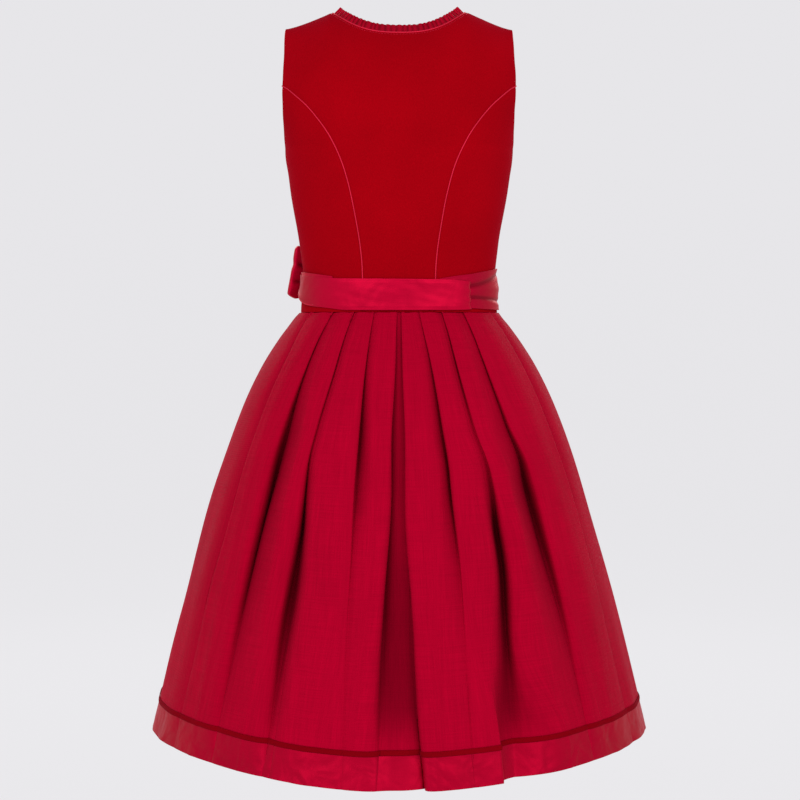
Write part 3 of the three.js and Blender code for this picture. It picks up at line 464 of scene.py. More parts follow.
def satin_material(name, color, roughness, crumple, gloss):
    n = Nodes(name)
    where = n.coordinates("Object")
    thread = n.noise(n.stretched(n.coordinates("UV"), (40.0, 1500.0, 1.0)), 1.0, roughness=0.6)
    soft = n.noise(where, 26.0, roughness=0.45, distortion=0.6)
    fine = n.noise(where, 90.0)
    factor = n.product(n.varied(thread, 0.06), n.varied(soft, 0.05))
    bumps = n.bump(fine, 0.25 * crumple, 0.004, n.bump(soft, crumple, 0.012))
    # The base colour is darkened by painted shade from the fold attribute.
    n.set(n.shader, {
        "Base Color": n.shaded(color, n.painted_fold_shade(factor, 0.5)), "Normal": n.bump(thread, 0.1, 0.0003, bumps),
        "Roughness": n.ramp(thread, 0.3, 0.7, roughness - 0.04, roughness + 0.05), "Metallic": 0.38,
        "IOR": 1.25, "Specular IOR Level": gloss, "Specular Tint": (1.0, 0.12, 0.2, 1.0),
    })
    return n.material


VELVET = velvet_material("dark red velvet", srgb(153, 0, 12), 0.05, (0.6, 0.0, 0.3))
RIBBON = velvet_material("velvet ribbon", srgb(125, 0, 12), 0.1, (0.6, 0.05, 0.15))
WOVEN = woven_material("crimson woven cloth", srgb(168, 1, 37))
SATIN = satin_material("red satin", srgb(181, 2, 44), 0.4, 0.14, 0.8)
# A darker copy of the red satin for the hem band: its darker colour is painted shade, as the hem gets less
# light than the tie.
SHADED_HEM_SATIN = satin_material("hem satin", srgb(167, 1, 38), 0.42, 0.4, 0.6)
FRILL_SATIN = satin_material("frill satin", srgb(166, 3, 33), 0.5, 0.2, 0.8)
PIPING = satin_material("piping satin", srgb(210, 34, 62), 0.45, 0.1, 0.8)

# ---- Bodice ----

BACK = table_curves(BODICE_BACK, "half_width", "edge_y", "centre_y", "turn")
FRONT = table_curves(BODICE_FRONT, "half_width", "edge_y", "centre_y", "turn")
princess_x = curve_through(*zip(*PRINCESS_SEAM))


def shoulder_height(share):
    """Height of the shoulder seam, from the neck point at 0 to the shoulder tip at 1."""
    return SHOULDER_TIP_Z + (NECK_POINT_Z - SHOULDER_TIP_Z) * np.maximum(1 - share, 0) ** SHOULDER_HOLLOW


def bodice_point(front, x, z):
    """The bodice's middle surface at height z and distance x from the centre line."""
    curves = FRONT if front else BACK
    turn = np.radians(curves["turn"](z))
    angle = np.arcsin(np.clip(x / curves["half_width"](z) * np.sin(turn), -1, 1))
    reach = (np.cos(angle) - np.cos(turn)) / (1 - np.cos(turn))
    flat = mix(curves["edge_y"](z), curves["centre_y"](z), reach)
    if front:
        full = bell(np.abs(x), BUST["x"], BUST["wide"]) * bell(z, BUST["z"], BUST["tall"])
        flat = flat - BUST["deep"] * full * reach
    share = np.clip((np.abs(x) / BACK["half_width"](z) - NECK_SHARE) / (1 - NECK_SHARE), 0, 1)
    below = np.maximum(shoulder_height(share) - z, 0)
    roll = np.sqrt(1 - (1 - np.minimum(below / SHOULDER_ROLL, 1)) ** 2)
    return points(x, SHOULDER_SEAM_Y + (flat - SHOULDER_SEAM_Y) * roll, z)


def top_of_back(share):
    s = np.abs(share)
    neck = BACK_NECK_Z + (NECK_POINT_Z - BACK_NECK_Z) * (s / NECK_SHARE) ** BACK_NECK_POWER
    shoulder = shoulder_height(np.maximum(s - NECK_SHARE, 0) / (1 - NECK_SHARE))
    return np.where(s > NECK_SHARE, shoulder, neck)


def top_of_front(share):
    s = np.abs(share)
    neck = FRONT_NECK_Z + (NECK_POINT_Z - FRONT_NECK_Z) * (s / NECK_SHARE) ** FRONT_NECK_POWER
    return np.where(s > NECK_SHARE, top_of_back(share), neck)


# Depth and width of the dip along the seam in each piece.
SEAM_DIPS = {"back_center": (0.9, 1.6), "back_side": (1.5, 2.4), "front": (0.8, 1.5)}
SEAM_GAP = 0.3  # from a seam to each piece beside it
NO_SEAM = 1000.0  # a distance too large for any dip
SHOULDER_HALF = 150.0
VELVET_SHEET = 1.5  # thickness in this model

BODICE_ROWS = 96
SIDE_ROWS = 74
# More rows near the shoulder, where the cloth rolls over, and more columns near the armholes.
row_shares = (1 - (1 - np.linspace(0, 1, BODICE_ROWS)) ** 1.6)[:, None]
back_shares = np.linspace(-1, 1, 93)
side_shares = np.linspace(0, 1, 45)
front_shares = 1 - (1 - np.linspace(0, 1, 84)) ** 1.25

body_ripple = Ripple(11, 120, (1.0, 1.0, 0.6))
side_ripple = Ripple(12, 60, (1.6, 1.6, 0.5))


def bodice_detail(grid, facing):
    """Soft unevenness of the velvet, stronger just above the waist and near the armholes."""
    normals = grid_normals(grid) * facing
    z = grid[..., 2]
    waist = smooth(-300, -380, z) * 0.5
    arm = smooth(90, 150, np.abs(grid[..., 0])) * smooth(-240, -160, z) * 0.4
    move = 0.5 * body_ripple(grid) + (waist + arm) * side_ripple(grid)
    return grid + normals * move[..., None]


def seam_dip(grid, facing, distance, deep, wide):
    """The cloth turned in along a seam, where distance is how far each point lies from it."""
    normals = grid_normals(grid) * facing
    return grid - normals * (deep * bell(distance, 0, wide))[..., None]


def seam_normals(grid, kind):
    """Normals that lie flat along the shoulder and side seams, so that both pieces meet there."""
    normals = grid_normals(grid)
    if kind != "back_side":
        shoulder = np.abs(grid[-1, :, 0]) >= NECK_SHARE * SHOULDER_HALF
        normals[-1, shoulder, 1] = 0
    if kind != "back_center":
        below = grid[:, -1, 2] <= UNDERARM_Z
        normals[below, -1, 1] = 0
    return unit(normals)


def add_velvet(kind, side, grid, facing, distance):
    """A piece of the bodice on its middle surface, with each point's distance from the seam."""
    grid = bodice_detail(seam_dip(grid, facing, distance, *SEAM_DIPS[kind]), facing)
    node = kind if side is None else f"{kind}_{SIDE_NAME[side]}"
    outer = grid + seam_normals(grid, kind) * facing * VELVET_WALL / 2
    obj = cloth(f"velvet_{node}", outer, VELVET, facing=facing, wall=VELVET_SHEET)
    place(obj, node)
    return grid


def add_bodice():
    z = mix(WAIST_Z, top_of_back(back_shares), row_shares)
    wide = BACK["half_width"](z)
    seamed = mix(WAIST_Z, SHOULDER_TIP_Z, row_shares) <= PRINCESS_TOP_Z
    half = np.where(seamed, princess_x(np.minimum(z, PRINCESS_TOP_Z)) - SEAM_GAP, wide)
    half = np.minimum(half, wide)
    grid = bodice_point(False, back_shares * half, z)
    distance = np.where(seamed, (1 - np.abs(back_shares)) * half, NO_SEAM)
    pieces = {"back_center": add_velvet("back_center", None, grid, -1, distance)}
    for side in (LEFT, RIGHT):
        z = mix(WAIST_Z, PRINCESS_TOP_Z - 0.5, np.linspace(0, 1, SIDE_ROWS)[:, None])
        wide = BACK["half_width"](z)
        turn = np.radians(BACK["turn"](z))
        start = np.minimum(princess_x(z) + SEAM_GAP, wide - 2 * SEAM_GAP)
        begin = np.arcsin(start / wide * np.sin(turn))
        x = wide * np.sin(mix(begin, turn, side_shares)) / np.sin(turn)
        grid = bodice_point(False, side * x, z)
        pieces["back_side", side] = add_velvet("back_side", side, grid, -side, x - start)
        z = mix(WAIST_Z, top_of_front(front_shares), row_shares)
        x = np.maximum(front_shares * FRONT["half_width"](z), SEAM_GAP)
        grid = bodice_point(True, side * x, z)
        pieces["front", side] = add_velvet("front", side, grid, side, x)
    return pieces


bodice = add_bodice()

# ---- Piping, stitches and frill ----


def interpolated(at, lengths, values):
    return np.stack([np.interp(at, lengths, column) for column in values.T], axis=-1)


def resampled(path, step):
    lengths = distances(path)
    count = max(int(lengths[-1] / step), 2)
    at = np.linspace(0, lengths[-1], count + 1)
    return interpolated(at, lengths, path)


def neck_edge():
    """Neckline from the right centre front over the back to the left, with the cloth's normals and
    the directions out of the cloth past its edge."""
    right, left, center = bodice["front", RIGHT], bodice["front", LEFT], bodice["back_center"]
    inner = front_shares < NECK_SHARE
    back = np.abs(back_shares) <= NECK_SHARE
    edges = [
        (right[-1][inner], -grid_normals(right)[-1][inner]),
        (center[-1][back], -grid_normals(center)[-1][back]),
        (left[-1][inner][::-1], grid_normals(left)[-1][inner][::-1]),
    ]
    path, normals = (np.concatenate(part) for part in zip(*edges))
    return path, normals, unit(np.cross(np.gradient(path, axis=0), normals))


def arm_edge(side):
    """Armhole from the underarm up the back, over the shoulder tip and down the front."""
    back, front, center = bodice["back_side", side], bodice["front", side], bodice["back_center"]
    column = -1 if side == LEFT else 0
    up = back[:, -1][back[:, -1, 2] >= UNDERARM_Z]
    above = center[:, column][center[:, column, 2] > PRINCESS_TOP_Z]
    down = front[:, -1][front[:, -1, 2] >= UNDERARM_Z][::-1]
    return np.concatenate([up, above, down])


PIPING_RADIUS, NECK_PIPING_RADIUS = 0.8075, 1.15
PIPING_OUT = 0.9  # of its middle line past the cloth's edge
PIPING_UP = 0.6  # of its middle line above the middle of the edge, or above the outside at a seam
PIPING_STEP, NECK_PIPING_STEP = 3.0, 2.5
ARMHOLE_MIDDLE = np.array([SHOULDER_HALF, 2.0, -90.0])
UNDER_TIE_Z = -360.0  # the back seams' piping ends under the tie


def add_piping(node, path, radius=PIPING_RADIUS, closed=False):
    place(cord(node, path, radius, PIPING, closed=closed), node)


def add_trim():
    path, normals, out = neck_edge()
    neck = resampled(path + out * PIPING_OUT + normals * PIPING_UP, NECK_PIPING_STEP)
    add_piping("neck_piping", neck, NECK_PIPING_RADIUS)
    center = bodice["back_center"]
    for side in (LEFT, RIGHT):
        arm = resampled(arm_edge(side), PIPING_STEP)
        # Towards the middle of the armhole, mostly in its own plane.
        inward = unit((ARMHOLE_MIDDLE * [side, 1, 1] - arm) * [0.25, 1.0, 1.0])
        add_piping(f"armhole_piping_{SIDE_NAME[side]}", arm + inward * PIPING_OUT, closed=True)
        column = -1 if side == LEFT else 0
        edge = center[:, column]
        keep = (edge[:, 2] < PRINCESS_TOP_Z + 1.0) & (edge[:, 2] > UNDER_TIE_Z)
        seam = edge[keep] - grid_normals(center)[:, column][keep] * (VELVET_WALL / 2 + PIPING_UP)
        add_piping(f"princess_piping_{SIDE_NAME[side]}", resampled(seam, PIPING_STEP))


STITCH_BELOW, STITCH_UP = 3.2, 0.25  # from the cloth's edge, and above its outside
STITCH_STEP = 0.8
STITCH, STITCH_PITCH, STITCH_MARGIN = 3, 5, 4  # length, pitch and the seam's bare ends, in steps
THREAD_RADIUS = 0.28


def add_stitches():
    """Understitching just below the neck piping, as small thread dashes."""
    path, normals, out = neck_edge()
    below = path - out * STITCH_BELOW + normals * (VELVET_WALL / 2 + STITCH_UP)
    line = resampled(below, STITCH_STEP)
    vertices, faces = [], []
    for start in range(STITCH_MARGIN, len(line) - STITCH - STITCH_MARGIN, STITCH_PITCH):
        a, b = line[start], line[start + STITCH]
        along = unit(b - a)
        side = unit(np.cross(along, [0, 0, 1.0])) * THREAD_RADIUS
        up = unit(np.cross(along, side)) * THREAD_RADIUS
        base = len(vertices)
        for end in (a, b):
            vertices += [end + side, end + up, end - side, end - up]
        faces += list(base + grid_quads(2, 4, wrap=True))
        faces += [range(base, base + 4)[::-1], range(base + 4, base + 8)]
    place(add_object("neck_understitching", np.array(vertices), faces, PIPING), None)


FRILL_PITCH = 7.6  # from one gather to the next
FRILL_BELOW, FRILL_ABOVE = 2.0, 15.8  # how far it reaches from the neck edge
FRILL_LIFT = 0.6  # share of straight up in its direction
FRILL_STEP, FRILL_ROWS = 0.55, 9  # of its grid
FRILL_WANDERS, FRILL_SWELLS = 90, 130  # random changes of its pitch and of its waves along the seam
FRILL_IN, FRILL_LEAN_IN = 1.9, 0.6  # behind the edge's middle, and how much more at its top
FRILL_SCALLOP = 0.7
FRILL_SHEET = 0.5


def add_frill():
    """A gathered strip of satin that stands inside the neckline, with scalloped ruffles."""
    path, normals, out = neck_edge()
    fine = resampled(path, FRILL_STEP)
    lengths = distances(path)
    s = np.linspace(0, lengths[-1], len(fine))

    def along_path(values):
        return interpolated(s, lengths, values)

    normal = unit(along_path(normals))
    up = unit(along_path(out) + [0, 0, FRILL_LIFT])
    level = unit(normal * [1.0, 1.0, 0.15])
    rng = np.random.default_rng(5)
    wander = np.interp(s, np.linspace(0, s[-1], FRILL_WANDERS), rng.uniform(-0.9, 0.9, FRILL_WANDERS))
    phase = 2 * math.pi * s / FRILL_PITCH + wander * 1.6
    swell = np.interp(s, np.linspace(0, s[-1], FRILL_SWELLS), rng.uniform(0.7, 1.25, FRILL_SWELLS))
    height = np.linspace(0, 1, FRILL_ROWS)[:, None]
    wave = np.sin(phase) * mix(0.4, 1.3, height) * swell
    lean = np.sin(phase * 0.5 + 1.1) * 0.4 * height
    scallop = np.abs(np.cos(phase / 2)) * FRILL_SCALLOP * height**2
    distance = mix(-FRILL_BELOW, FRILL_ABOVE, height) - scallop
    inward = FRILL_IN + FRILL_LEAN_IN * height
    # Painted shade in the troughs of the gathers.
    painted_trough_shade = np.maximum(-np.sin(phase), 0) ** 1.5 * mix(0.9, 0.5, height)
    grid = fine + up * distance[..., None] + level * (wave + lean)[..., None] - normal * inward[..., None]
    obj = cloth("neck_frill_cloth", grid, FRILL_SATIN, wall=FRILL_SHEET, offset=0.0, fold=painted_trough_shade)
    place(obj, "neck_frill")


add_trim()
add_stitches()
add_frill()

# ---- Skirt ----

skirt_half_width = curve_through(*zip(*SKIRT))


def skirt_depth(front, z):
    waist = np.where(front, SKIRT_WAIST_FRONT, SKIRT_WAIST_BACK)
    first, last = SKIRT[0][1], SKIRT[-1][1]
    return mix(waist, HEM_DEPTH, (skirt_half_width(z) - first) / (last - first))


def ellipse_point(angle, wide, deep, z, out):
    """A point at an angle of an ellipse round the body, moved out along the ellipse's normal."""
    a = np.radians(angle)
    nx, ny = -np.sin(a) / wide, np.cos(a) / deep
    size = np.hypot(nx, ny)
    return points(-wide * np.sin(a) + nx / size * out, deep * np.cos(a) + ny / size * out, z)


def skirt_point(angle, z, out=0.0):
    face = np.cos(np.radians(angle))
    share = (SKIRT_TOP_Z - z) / (SKIRT_TOP_Z - HEM_Z)
    lift = HEM_LIFT * share * share * (1 - face**4)
    return ellipse_point(angle, skirt_half_width(z), skirt_depth(face < 0, z), z + lift, out)


def degrees_per_mm(angle, z, front):
    a = np.radians(angle)
    return 180 / math.pi / np.hypot(skirt_half_width(z) * np.cos(a), skirt_depth(front, z) * np.sin(a))


def bezier(a, b, c, d, t):
    return (1 - t) ** 3 * a + 3 * (1 - t) ** 2 * t * b + 3 * (1 - t) * t * t * c + t**3 * d


INNER_STEPS = np.linspace(0, 1, 17)[None, :]
OUTER_STEPS = np.linspace(0, 1, 19)[None, 1:]
PANEL_STEPS = np.linspace(0, 1, 11)[None, 1:-1]
BOX_STEPS = np.linspace(0, 1, 12)[None, :-1]
SIDE_STEPS = np.linspace(0, 1, 19)[None, 1:-1]
PANEL_BULGE_SHARE, PANEL_BULGE = 0.035, 2.2  # of a flat panel between folds: of its width, and the most


def fold_shape(side, fold, z, share):
    """Sizes of a fold at each height: its depth, slopes and how far its front edge overlaps."""
    kind, angles, depths = fold
    depth = curve_through(FOLD_HEIGHTS, depths)(z)
    pressed = bell(share, 0, 0.16)
    soft = 0.0 * share if (side, kind) in CRISP_FOLDS else smooth(0.6, 0.97, share)
    loose = smooth(0.35, 0.8, share)
    step = smooth(0.72, 0.95, share) if (side, kind) == STEP_FOLD else 0.0 * share
    outer = mix(0.35 * depth + 4.0, 0.5 * depth + 9.0, loose)
    return SimpleNamespace(
        kind=kind,
        angle=curve_through(FOLD_TURN_HEIGHTS, angles)(z),
        depth=depth,
        inner=curve_through(FOLD_HEIGHTS, INNER_WIDTHS[kind])(z),
        under=(0.2 * depth + 2.6 * pressed) * (1 - soft),
        round=0.3 * depth + 0.5,
        over=(mix(0.6, 0.3, loose) * depth + 4.0 * pressed) * (1 - soft) * (1 - step),
        outer=mix(mix(outer, OUTER_WIDTH_HEM, soft), STEP_OUTER_WIDTH, step),
        tilt=(0.42, 0.6) if kind == "far" else (0.06, 0.88),
        step=step,
    )


box_depths = [depths for folds in FOLDS.values() for kind, _, depths in folds if kind == "box"]
centre_depth = curve_through(FOLD_HEIGHTS, np.mean(box_depths, axis=0))


def inner_slope(f):
    """From the flat panel down to the bottom of the fold, in millimetres along and out."""
    leaving = mix(-0.45 * f.inner, -f.inner + 3, f.step)
    arriving = mix(f.under - f.round, -0.6 * f.inner, f.step)
    early, late = f.tilt
    along = bezier(-f.inner, leaving, arriving, f.under, INNER_STEPS)
    return along, bezier(0.0, -f.depth * mix(early, 0.9, f.step), -f.depth * late, -f.depth, INNER_STEPS)


def outer_slope(f):
    """From the bottom of the fold round its front edge on to the next panel."""
    front = mix(-f.over, 0.45 * f.outer, f.step)
    along = bezier(f.under, f.under + f.round, front, f.outer, OUTER_STEPS)
    return along, bezier(-f.depth, -f.depth, 0.0, 0.0, OUTER_STEPS)


def quarter(side, front, z):
    """Angles and depths of a quarter ring at each height, from the centre to the side seam."""
    share = (SKIRT_TOP_Z - z) / (SKIRT_TOP_Z - HEM_Z)
    runs, seam, reached = [], None, None
    for fold in FOLDS[side]:
        f = fold_shape(side, fold, z, share)
        per = degrees_per_mm(f.angle, z, front)
        first, second = inner_slope(f), outer_slope(f)
        before, after = f.inner, f.outer
        if f.kind == "box":
            bottom = (f.angle + f.under * per) * BOX_STEPS
            runs.append((bottom, -mix(0.9 * centre_depth(z), f.depth, BOX_STEPS**2)))
        else:
            if f.kind == "side":
                first, second = ((-along[:, ::-1], out[:, ::-1]) for along, out in (second, first))
                before, after = after, before
            # The flat panel before the fold. Where slopes would meet, they are narrowed.
            squeeze = np.minimum(1.0, 0.8 * (f.angle - reached) / (before * per))
            panel = f.angle - before * per * squeeze - reached
            bulge = np.minimum(PANEL_BULGE_SHARE * panel / per, PANEL_BULGE)
            runs.append((reached + panel * PANEL_STEPS, np.sin(math.pi * PANEL_STEPS) ** 2 * bulge))
            if f.kind == "seam":
                seam = sum(angle.shape[1] for angle, _ in runs) + INNER_STEPS.size // 2
            along, out = first
            along = np.where(along < 0, along * squeeze, along)
            runs.append((f.angle + along * per, out))
        along, out = second
        runs.append((f.angle + along * per, out))
        reached = f.angle + after * per
    runs.append((mix(reached, 90.0, SIDE_STEPS), 0.0 * z * SIDE_STEPS))
    angles, outs = (
        np.concatenate([np.broadcast_to(part, (len(z), part.shape[1])) for part in parts], axis=1)
        for parts in zip(*runs)
    )
    return angles, outs, seam


def skirt_rings(z):
    """Points of the whole ring at each height, how deep each lies, and the seams' columns."""
    z = np.asarray(z, float)[:, None]
    parts, depths, seams, count = [], [], [], 0
    for side, front in ((RIGHT, False), (RIGHT, True), (LEFT, True), (LEFT, False)):
        angle, out, seam = quarter(side, front, z)
        if front:
            # The column at the side seam belongs to the front.
            angle = np.concatenate([angle, 0.0 * z + 90.0], axis=1)
            out = np.concatenate([out, 0.0 * z], axis=1)
        if side == LEFT:
            # The columns at the centre back and front belong to the right.
            angle, out, seam = angle[:, 1:], out[:, 1:], seam - 1
        total = angle.shape[1]
        if (side == RIGHT) == front:
            angle, out, seam = (180 if front else 360) - angle[:, ::-1], out[:, ::-1], total - 1 - seam
        elif front:
            angle = 180 + angle
        seams.append(count + seam)
        if front:
            seams.append(count if side == RIGHT else count + total - 1)
        parts.append(skirt_point(angle, z, out))
        depths.append(-out)
        count += total
    return np.concatenate(parts, axis=1), np.concatenate(depths, axis=1), sorted(seams)


soft_folds = Ripple(21, 70, (1.0, 1.0, 4.0))
puckers = Ripple(22, 16, (1.0, 1.0, 2.2))
hem_wrinkles = Ripple(23, 34, (1.0, 1.0, 1.0))
hem_fine = Ripple(24, 13, (1.0, 1.0, 1.3))


def skirt_surface(z):
    grid, depth, seams = skirt_rings(z)
    normals = grid_normals(grid, wrap=True)
    height = grid[..., 2]
    along = smooth(-470, -640, height)
    top = smooth(-425, -397, height)
    hem = smooth(RIBBON_Z + 30, HEM_Z, height)
    move = (
        soft_folds(grid) * mix(0.15, 1.1, along) + puckers(grid) * 0.35 * top
        + hem_wrinkles(grid) * 0.55 * hem + hem_fine(grid) * 0.14 * hem
    )
    # Every seam between gores is a shallow groove.
    columns = grid.shape[1]
    number = np.arange(columns)
    for start in seams:
        far = (number - start + columns / 2) % columns - columns / 2
        move = move - GORE_SEAM * bell(far, 0, 0.7)[None, :]
    # Painted shade: darker the deeper a point lies in a fold, fading out towards the hem.
    dark = np.clip(depth / DEEPEST, 0, 1) * smooth(HEM_Z + LIT_BELOW, HEM_Z + DARK_ABOVE, height)
    return grid + normals * move[..., None], dark, seams


GORE_SHEET, HEM_SHEET, RIBBON_SHEET = 0.9, 1.4, 0.7  # thicknesses in this model
HEM_ROWS, SKIRT_ROWS, RIBBON_ROWS = 15, 92, 7
RIBBON_OUT, RIBBON_CROWN = 0.9, 0.6  # above the skirt's surface, and how much more in its middle
# Rows lie closer together at the waist, where the pleats are crisp.
skirt_z = mix(RIBBON_Z, SKIRT_TOP_Z, np.sin(np.linspace(0, 1, SKIRT_ROWS) * math.pi / 2) ** 0.9)
hem_z = np.linspace(HEM_Z, RIBBON_Z, HEM_ROWS)
all_z = np.concatenate([hem_z, skirt_z[1:]])
skirt_grid, skirt_painted_shade, gore_starts = skirt_surface(all_z)

GORES = ("back_side_right", "front_side_right", "front_center", "front_side_left", "back_side_left",
         "back_center")


def gore_columns(k):
    total = skirt_grid.shape[1]
    start = gore_starts[k]
    end = gore_starts[(k + 1) % len(gore_starts)]
    count = (end - start) % total + 1
    return (start + np.arange(count)) % total


def add_skirt():
    for k, gore in enumerate(GORES):
        columns = gore_columns(k)
        upper = skirt_grid[HEM_ROWS - 1:][:, columns]
        lower = skirt_grid[:HEM_ROWS][:, columns]
        # Painted fold shade of these columns, for the gore and its hem band.
        fold = skirt_painted_shade[:, columns]
        obj = cloth(f"skirt_gore_{gore}", upper, WOVEN, wall=GORE_SHEET, fold=fold[HEM_ROWS - 1:])
        place(obj, f"skirt_{gore}")
        # The satin band is folded under at its lower edge; here it is a sheet thicker than the gores'.
        obj = cloth(f"hem_band_{gore}", lower, SHADED_HEM_SATIN, wall=HEM_SHEET, fold=fold[:HEM_ROWS])
        place(obj, f"hem_band_{gore}")


def add_ribbon():
    z = np.linspace(RIBBON_Z - RIBBON_HALF_WIDTH, RIBBON_Z + RIBBON_HALF_WIDTH, RIBBON_ROWS)
    grid, fold, _ = skirt_surface(z)
    crown = RIBBON_OUT + RIBBON_CROWN * np.sin(np.linspace(0, 1, RIBBON_ROWS) * math.pi)[:, None, None]
    grid = grid + grid_normals(grid, wrap=True) * crown
    # The ribbon takes the skirt's painted fold shade as its fold attribute, which the velvet doesn't read.
    obj = cloth("hem_ribbon", grid, RIBBON, wall=RIBBON_SHEET, wrap=True, fold=fold)
    place(obj, "velvet_ribbon")


add_skirt()
add_ribbon()

# ---- Tie, apron and bow ----

TIE_START, TIE_END = 47.3, -131.0
BAND_START, BAND_END = 24.0, 318.0
TIE_OUT, BAND_OUT = 4.4, 2.6  # above the bodice's middle surface
TIE_TURN_IN = 4.6  # of its gathered end
TIE_ROLL_RADIUS = 0.8
TIE_ROLL_FROM, TIE_ROLL_TO = -104, -58
# Thicknesses of the satin in this model, and rows and columns of the grids.
TIE_SHEET, APRON_SHEET, KNOT_SHEET, BOW_SHEET = 0.9, 0.6, 0.8, 0.7
TIE_GRID, BAND_GRID, APRON_GRID = (30, 240), (34, 330), (90, 420)
KNOT_GRID, LOOP_GRID, TAIL_GRID = (30, 60), (60, 110), (70, 40)
# Edges of the tie and of the apron's band round the waist: rows of angle, bottom and top.
TIE_EDGES = (
    (-131, -371, -346), (-104, -368, -344), (-90, -371, -344), (-80, -379, -345.5), (-66, -385.5, -347),
    (-45, -389.5, -350), (-30, -392.5, -351), (0, -392.6, -351.8), (30, -392.4, -352.5),
    (47.3, -391.5, -355.5),
)
BAND_EDGES = (
    (24, -390, -351.5), (34, -390, -348), (46, -390, -345), (60, -391, -341), (90, -391.5, -336),
    (120, -391, -343), (180, -391, -353), (230, -391, -352), (246, -389, -349), (262, -374, -344),
    (275, -372, -341), (300, -378, -344), (318, -384, -348),
)


def waist_point(angle, z, out):
    """A point of the bodice near the waist, moved out, at an angle round the body."""
    deep = np.where(np.cos(np.radians(angle)) < 0, -FRONT["centre_y"](z), BACK["centre_y"](z))
    return ellipse_point(angle, BACK["half_width"](z), deep, z, out)


tie_ripple = Ripple(31, 46, (2.2, 2.2, 0.6))
tie_fine = Ripple(32, 15, (1.6, 1.6, 0.8))


def band_grid(table, start, end, size, out):
    """Angles, shares of the width and points of a band, which lies out from the bodice by a function."""
    edges = table_curves(table, "bottom", "top")
    angle = np.linspace(start, end, size[1])[None, :]
    v = np.linspace(0, 1, size[0])[:, None]
    z = mix(edges["bottom"](angle), edges["top"](angle), v)
    return angle, v, waist_point(angle, z, out(angle, v))


def pressed_hems(v):
    """The sewn lines near both edges of a band, pressed in."""
    return -0.4 * bell(np.abs(v - 0.5), 0.43, 0.012)


def add_tie():
    def out(angle, v):
        start = smooth(TIE_START - 5, TIE_START, angle)  # turned in at its gathered end
        gather = np.sin(v * 2 * math.pi * 3.2 + 0.8) * 0.9 * smooth(TIE_START - 9, TIE_START - 1, angle)
        roll = -0.6 * smooth(0.44, 0.5, np.abs(v - 0.5))
        side = smooth(-62, -84, angle) * 2.0 * bell(v, 0.1, 0.2)
        lifted = 1.6 * smooth(TIE_START - 24, TIE_START - 6, angle)
        return TIE_OUT + lifted - TIE_TURN_IN * start**2 + gather + pressed_hems(v) + roll + side

    angle, v, grid = band_grid(TIE_EDGES, TIE_END, TIE_START, TIE_GRID, out)
    normals = -grid_normals(grid)
    calm = smooth(60, 5, np.abs(angle)) * 0.15 + 0.25
    grid = grid + normals * (tie_ripple(grid) * calm + tie_fine(grid) * 0.12)[..., None]
    # Painted shade at the gathered end and where the tie turns round the side towards the bow.
    painted_pinch_shade = smooth(TIE_START - 3.5, TIE_START - 0.5, angle) * 0.9
    painted_side_shade = smooth(-40, -85, angle) * 0.42
    obj = cloth("waist_tie_satin", grid, SATIN, facing=grid_facing(grid), wall=TIE_SHEET,
                fold=np.maximum(painted_pinch_shade, painted_side_shade) + 0.0 * v)
    place(obj, "waist_tie")
    # The rolled edge where the tie turns up towards the bow, drawn in the lighter piping satin as a painted
    # highlight along its rim.
    turned = (angle[0] > TIE_ROLL_FROM) & (angle[0] < TIE_ROLL_TO)
    edge = grid[1, turned] + normals[1, turned] * 0.7
    place(cord("waist_tie_rolled_edge_painted_highlight", edge, TIE_ROLL_RADIUS, PIPING), None)


def grid_facing(grid):
    """1 where the grid's normals point away from the body's middle line, else -1."""
    return 1 if (grid_normals(grid) * grid)[..., :2].sum() > 0 else -1


def band_folds(angle, v):
    """Folds that fan out from the gathered end of the tie, round to the right side: -1 deep to 1 high."""
    spread = smooth(44, 92, angle)
    upper = bell(v, mix(0.66, 0.87, spread), 0.06)
    lower = bell(v, mix(0.33, 0.2, spread), 0.05)
    middle = bell(v, mix(0.5, 0.52, spread), 0.12)
    return middle - upper - 1.2 * lower


def add_band():
    def fan(angle):
        return smooth(38, 48, angle) * smooth(150, 95, angle)

    def out(angle, v):
        return BAND_OUT + (1.7 * band_folds(angle, v) + 1.2) * fan(angle) + pressed_hems(v)

    angle, v, grid = band_grid(BAND_EDGES, BAND_START, BAND_END, BAND_GRID, out)
    facing = grid_facing(grid)
    normals = grid_normals(grid) * facing
    grid = grid + normals * (tie_ripple(grid) * 0.3)[..., None]
    # Painted shade over the fan of folds, deepest in their grooves, and just past the tie's gathered end.
    shade = fan(angle) * (0.36 - 0.85 * np.minimum(band_folds(angle, v), 0)) + 0.25 * smooth(47, 40, angle)
    obj = cloth("apron_waistband_satin", grid, SATIN, facing=facing, wall=TIE_SHEET, fold=shade)
    place(obj, "apron_waistband")


APRON_TOP_HALF, APRON_HEM_HALF = 64.0, 70.0
APRON_TOP_Z, APRON_HEM_Z = -391.5, -905.0
APRON_FOLDS = 12


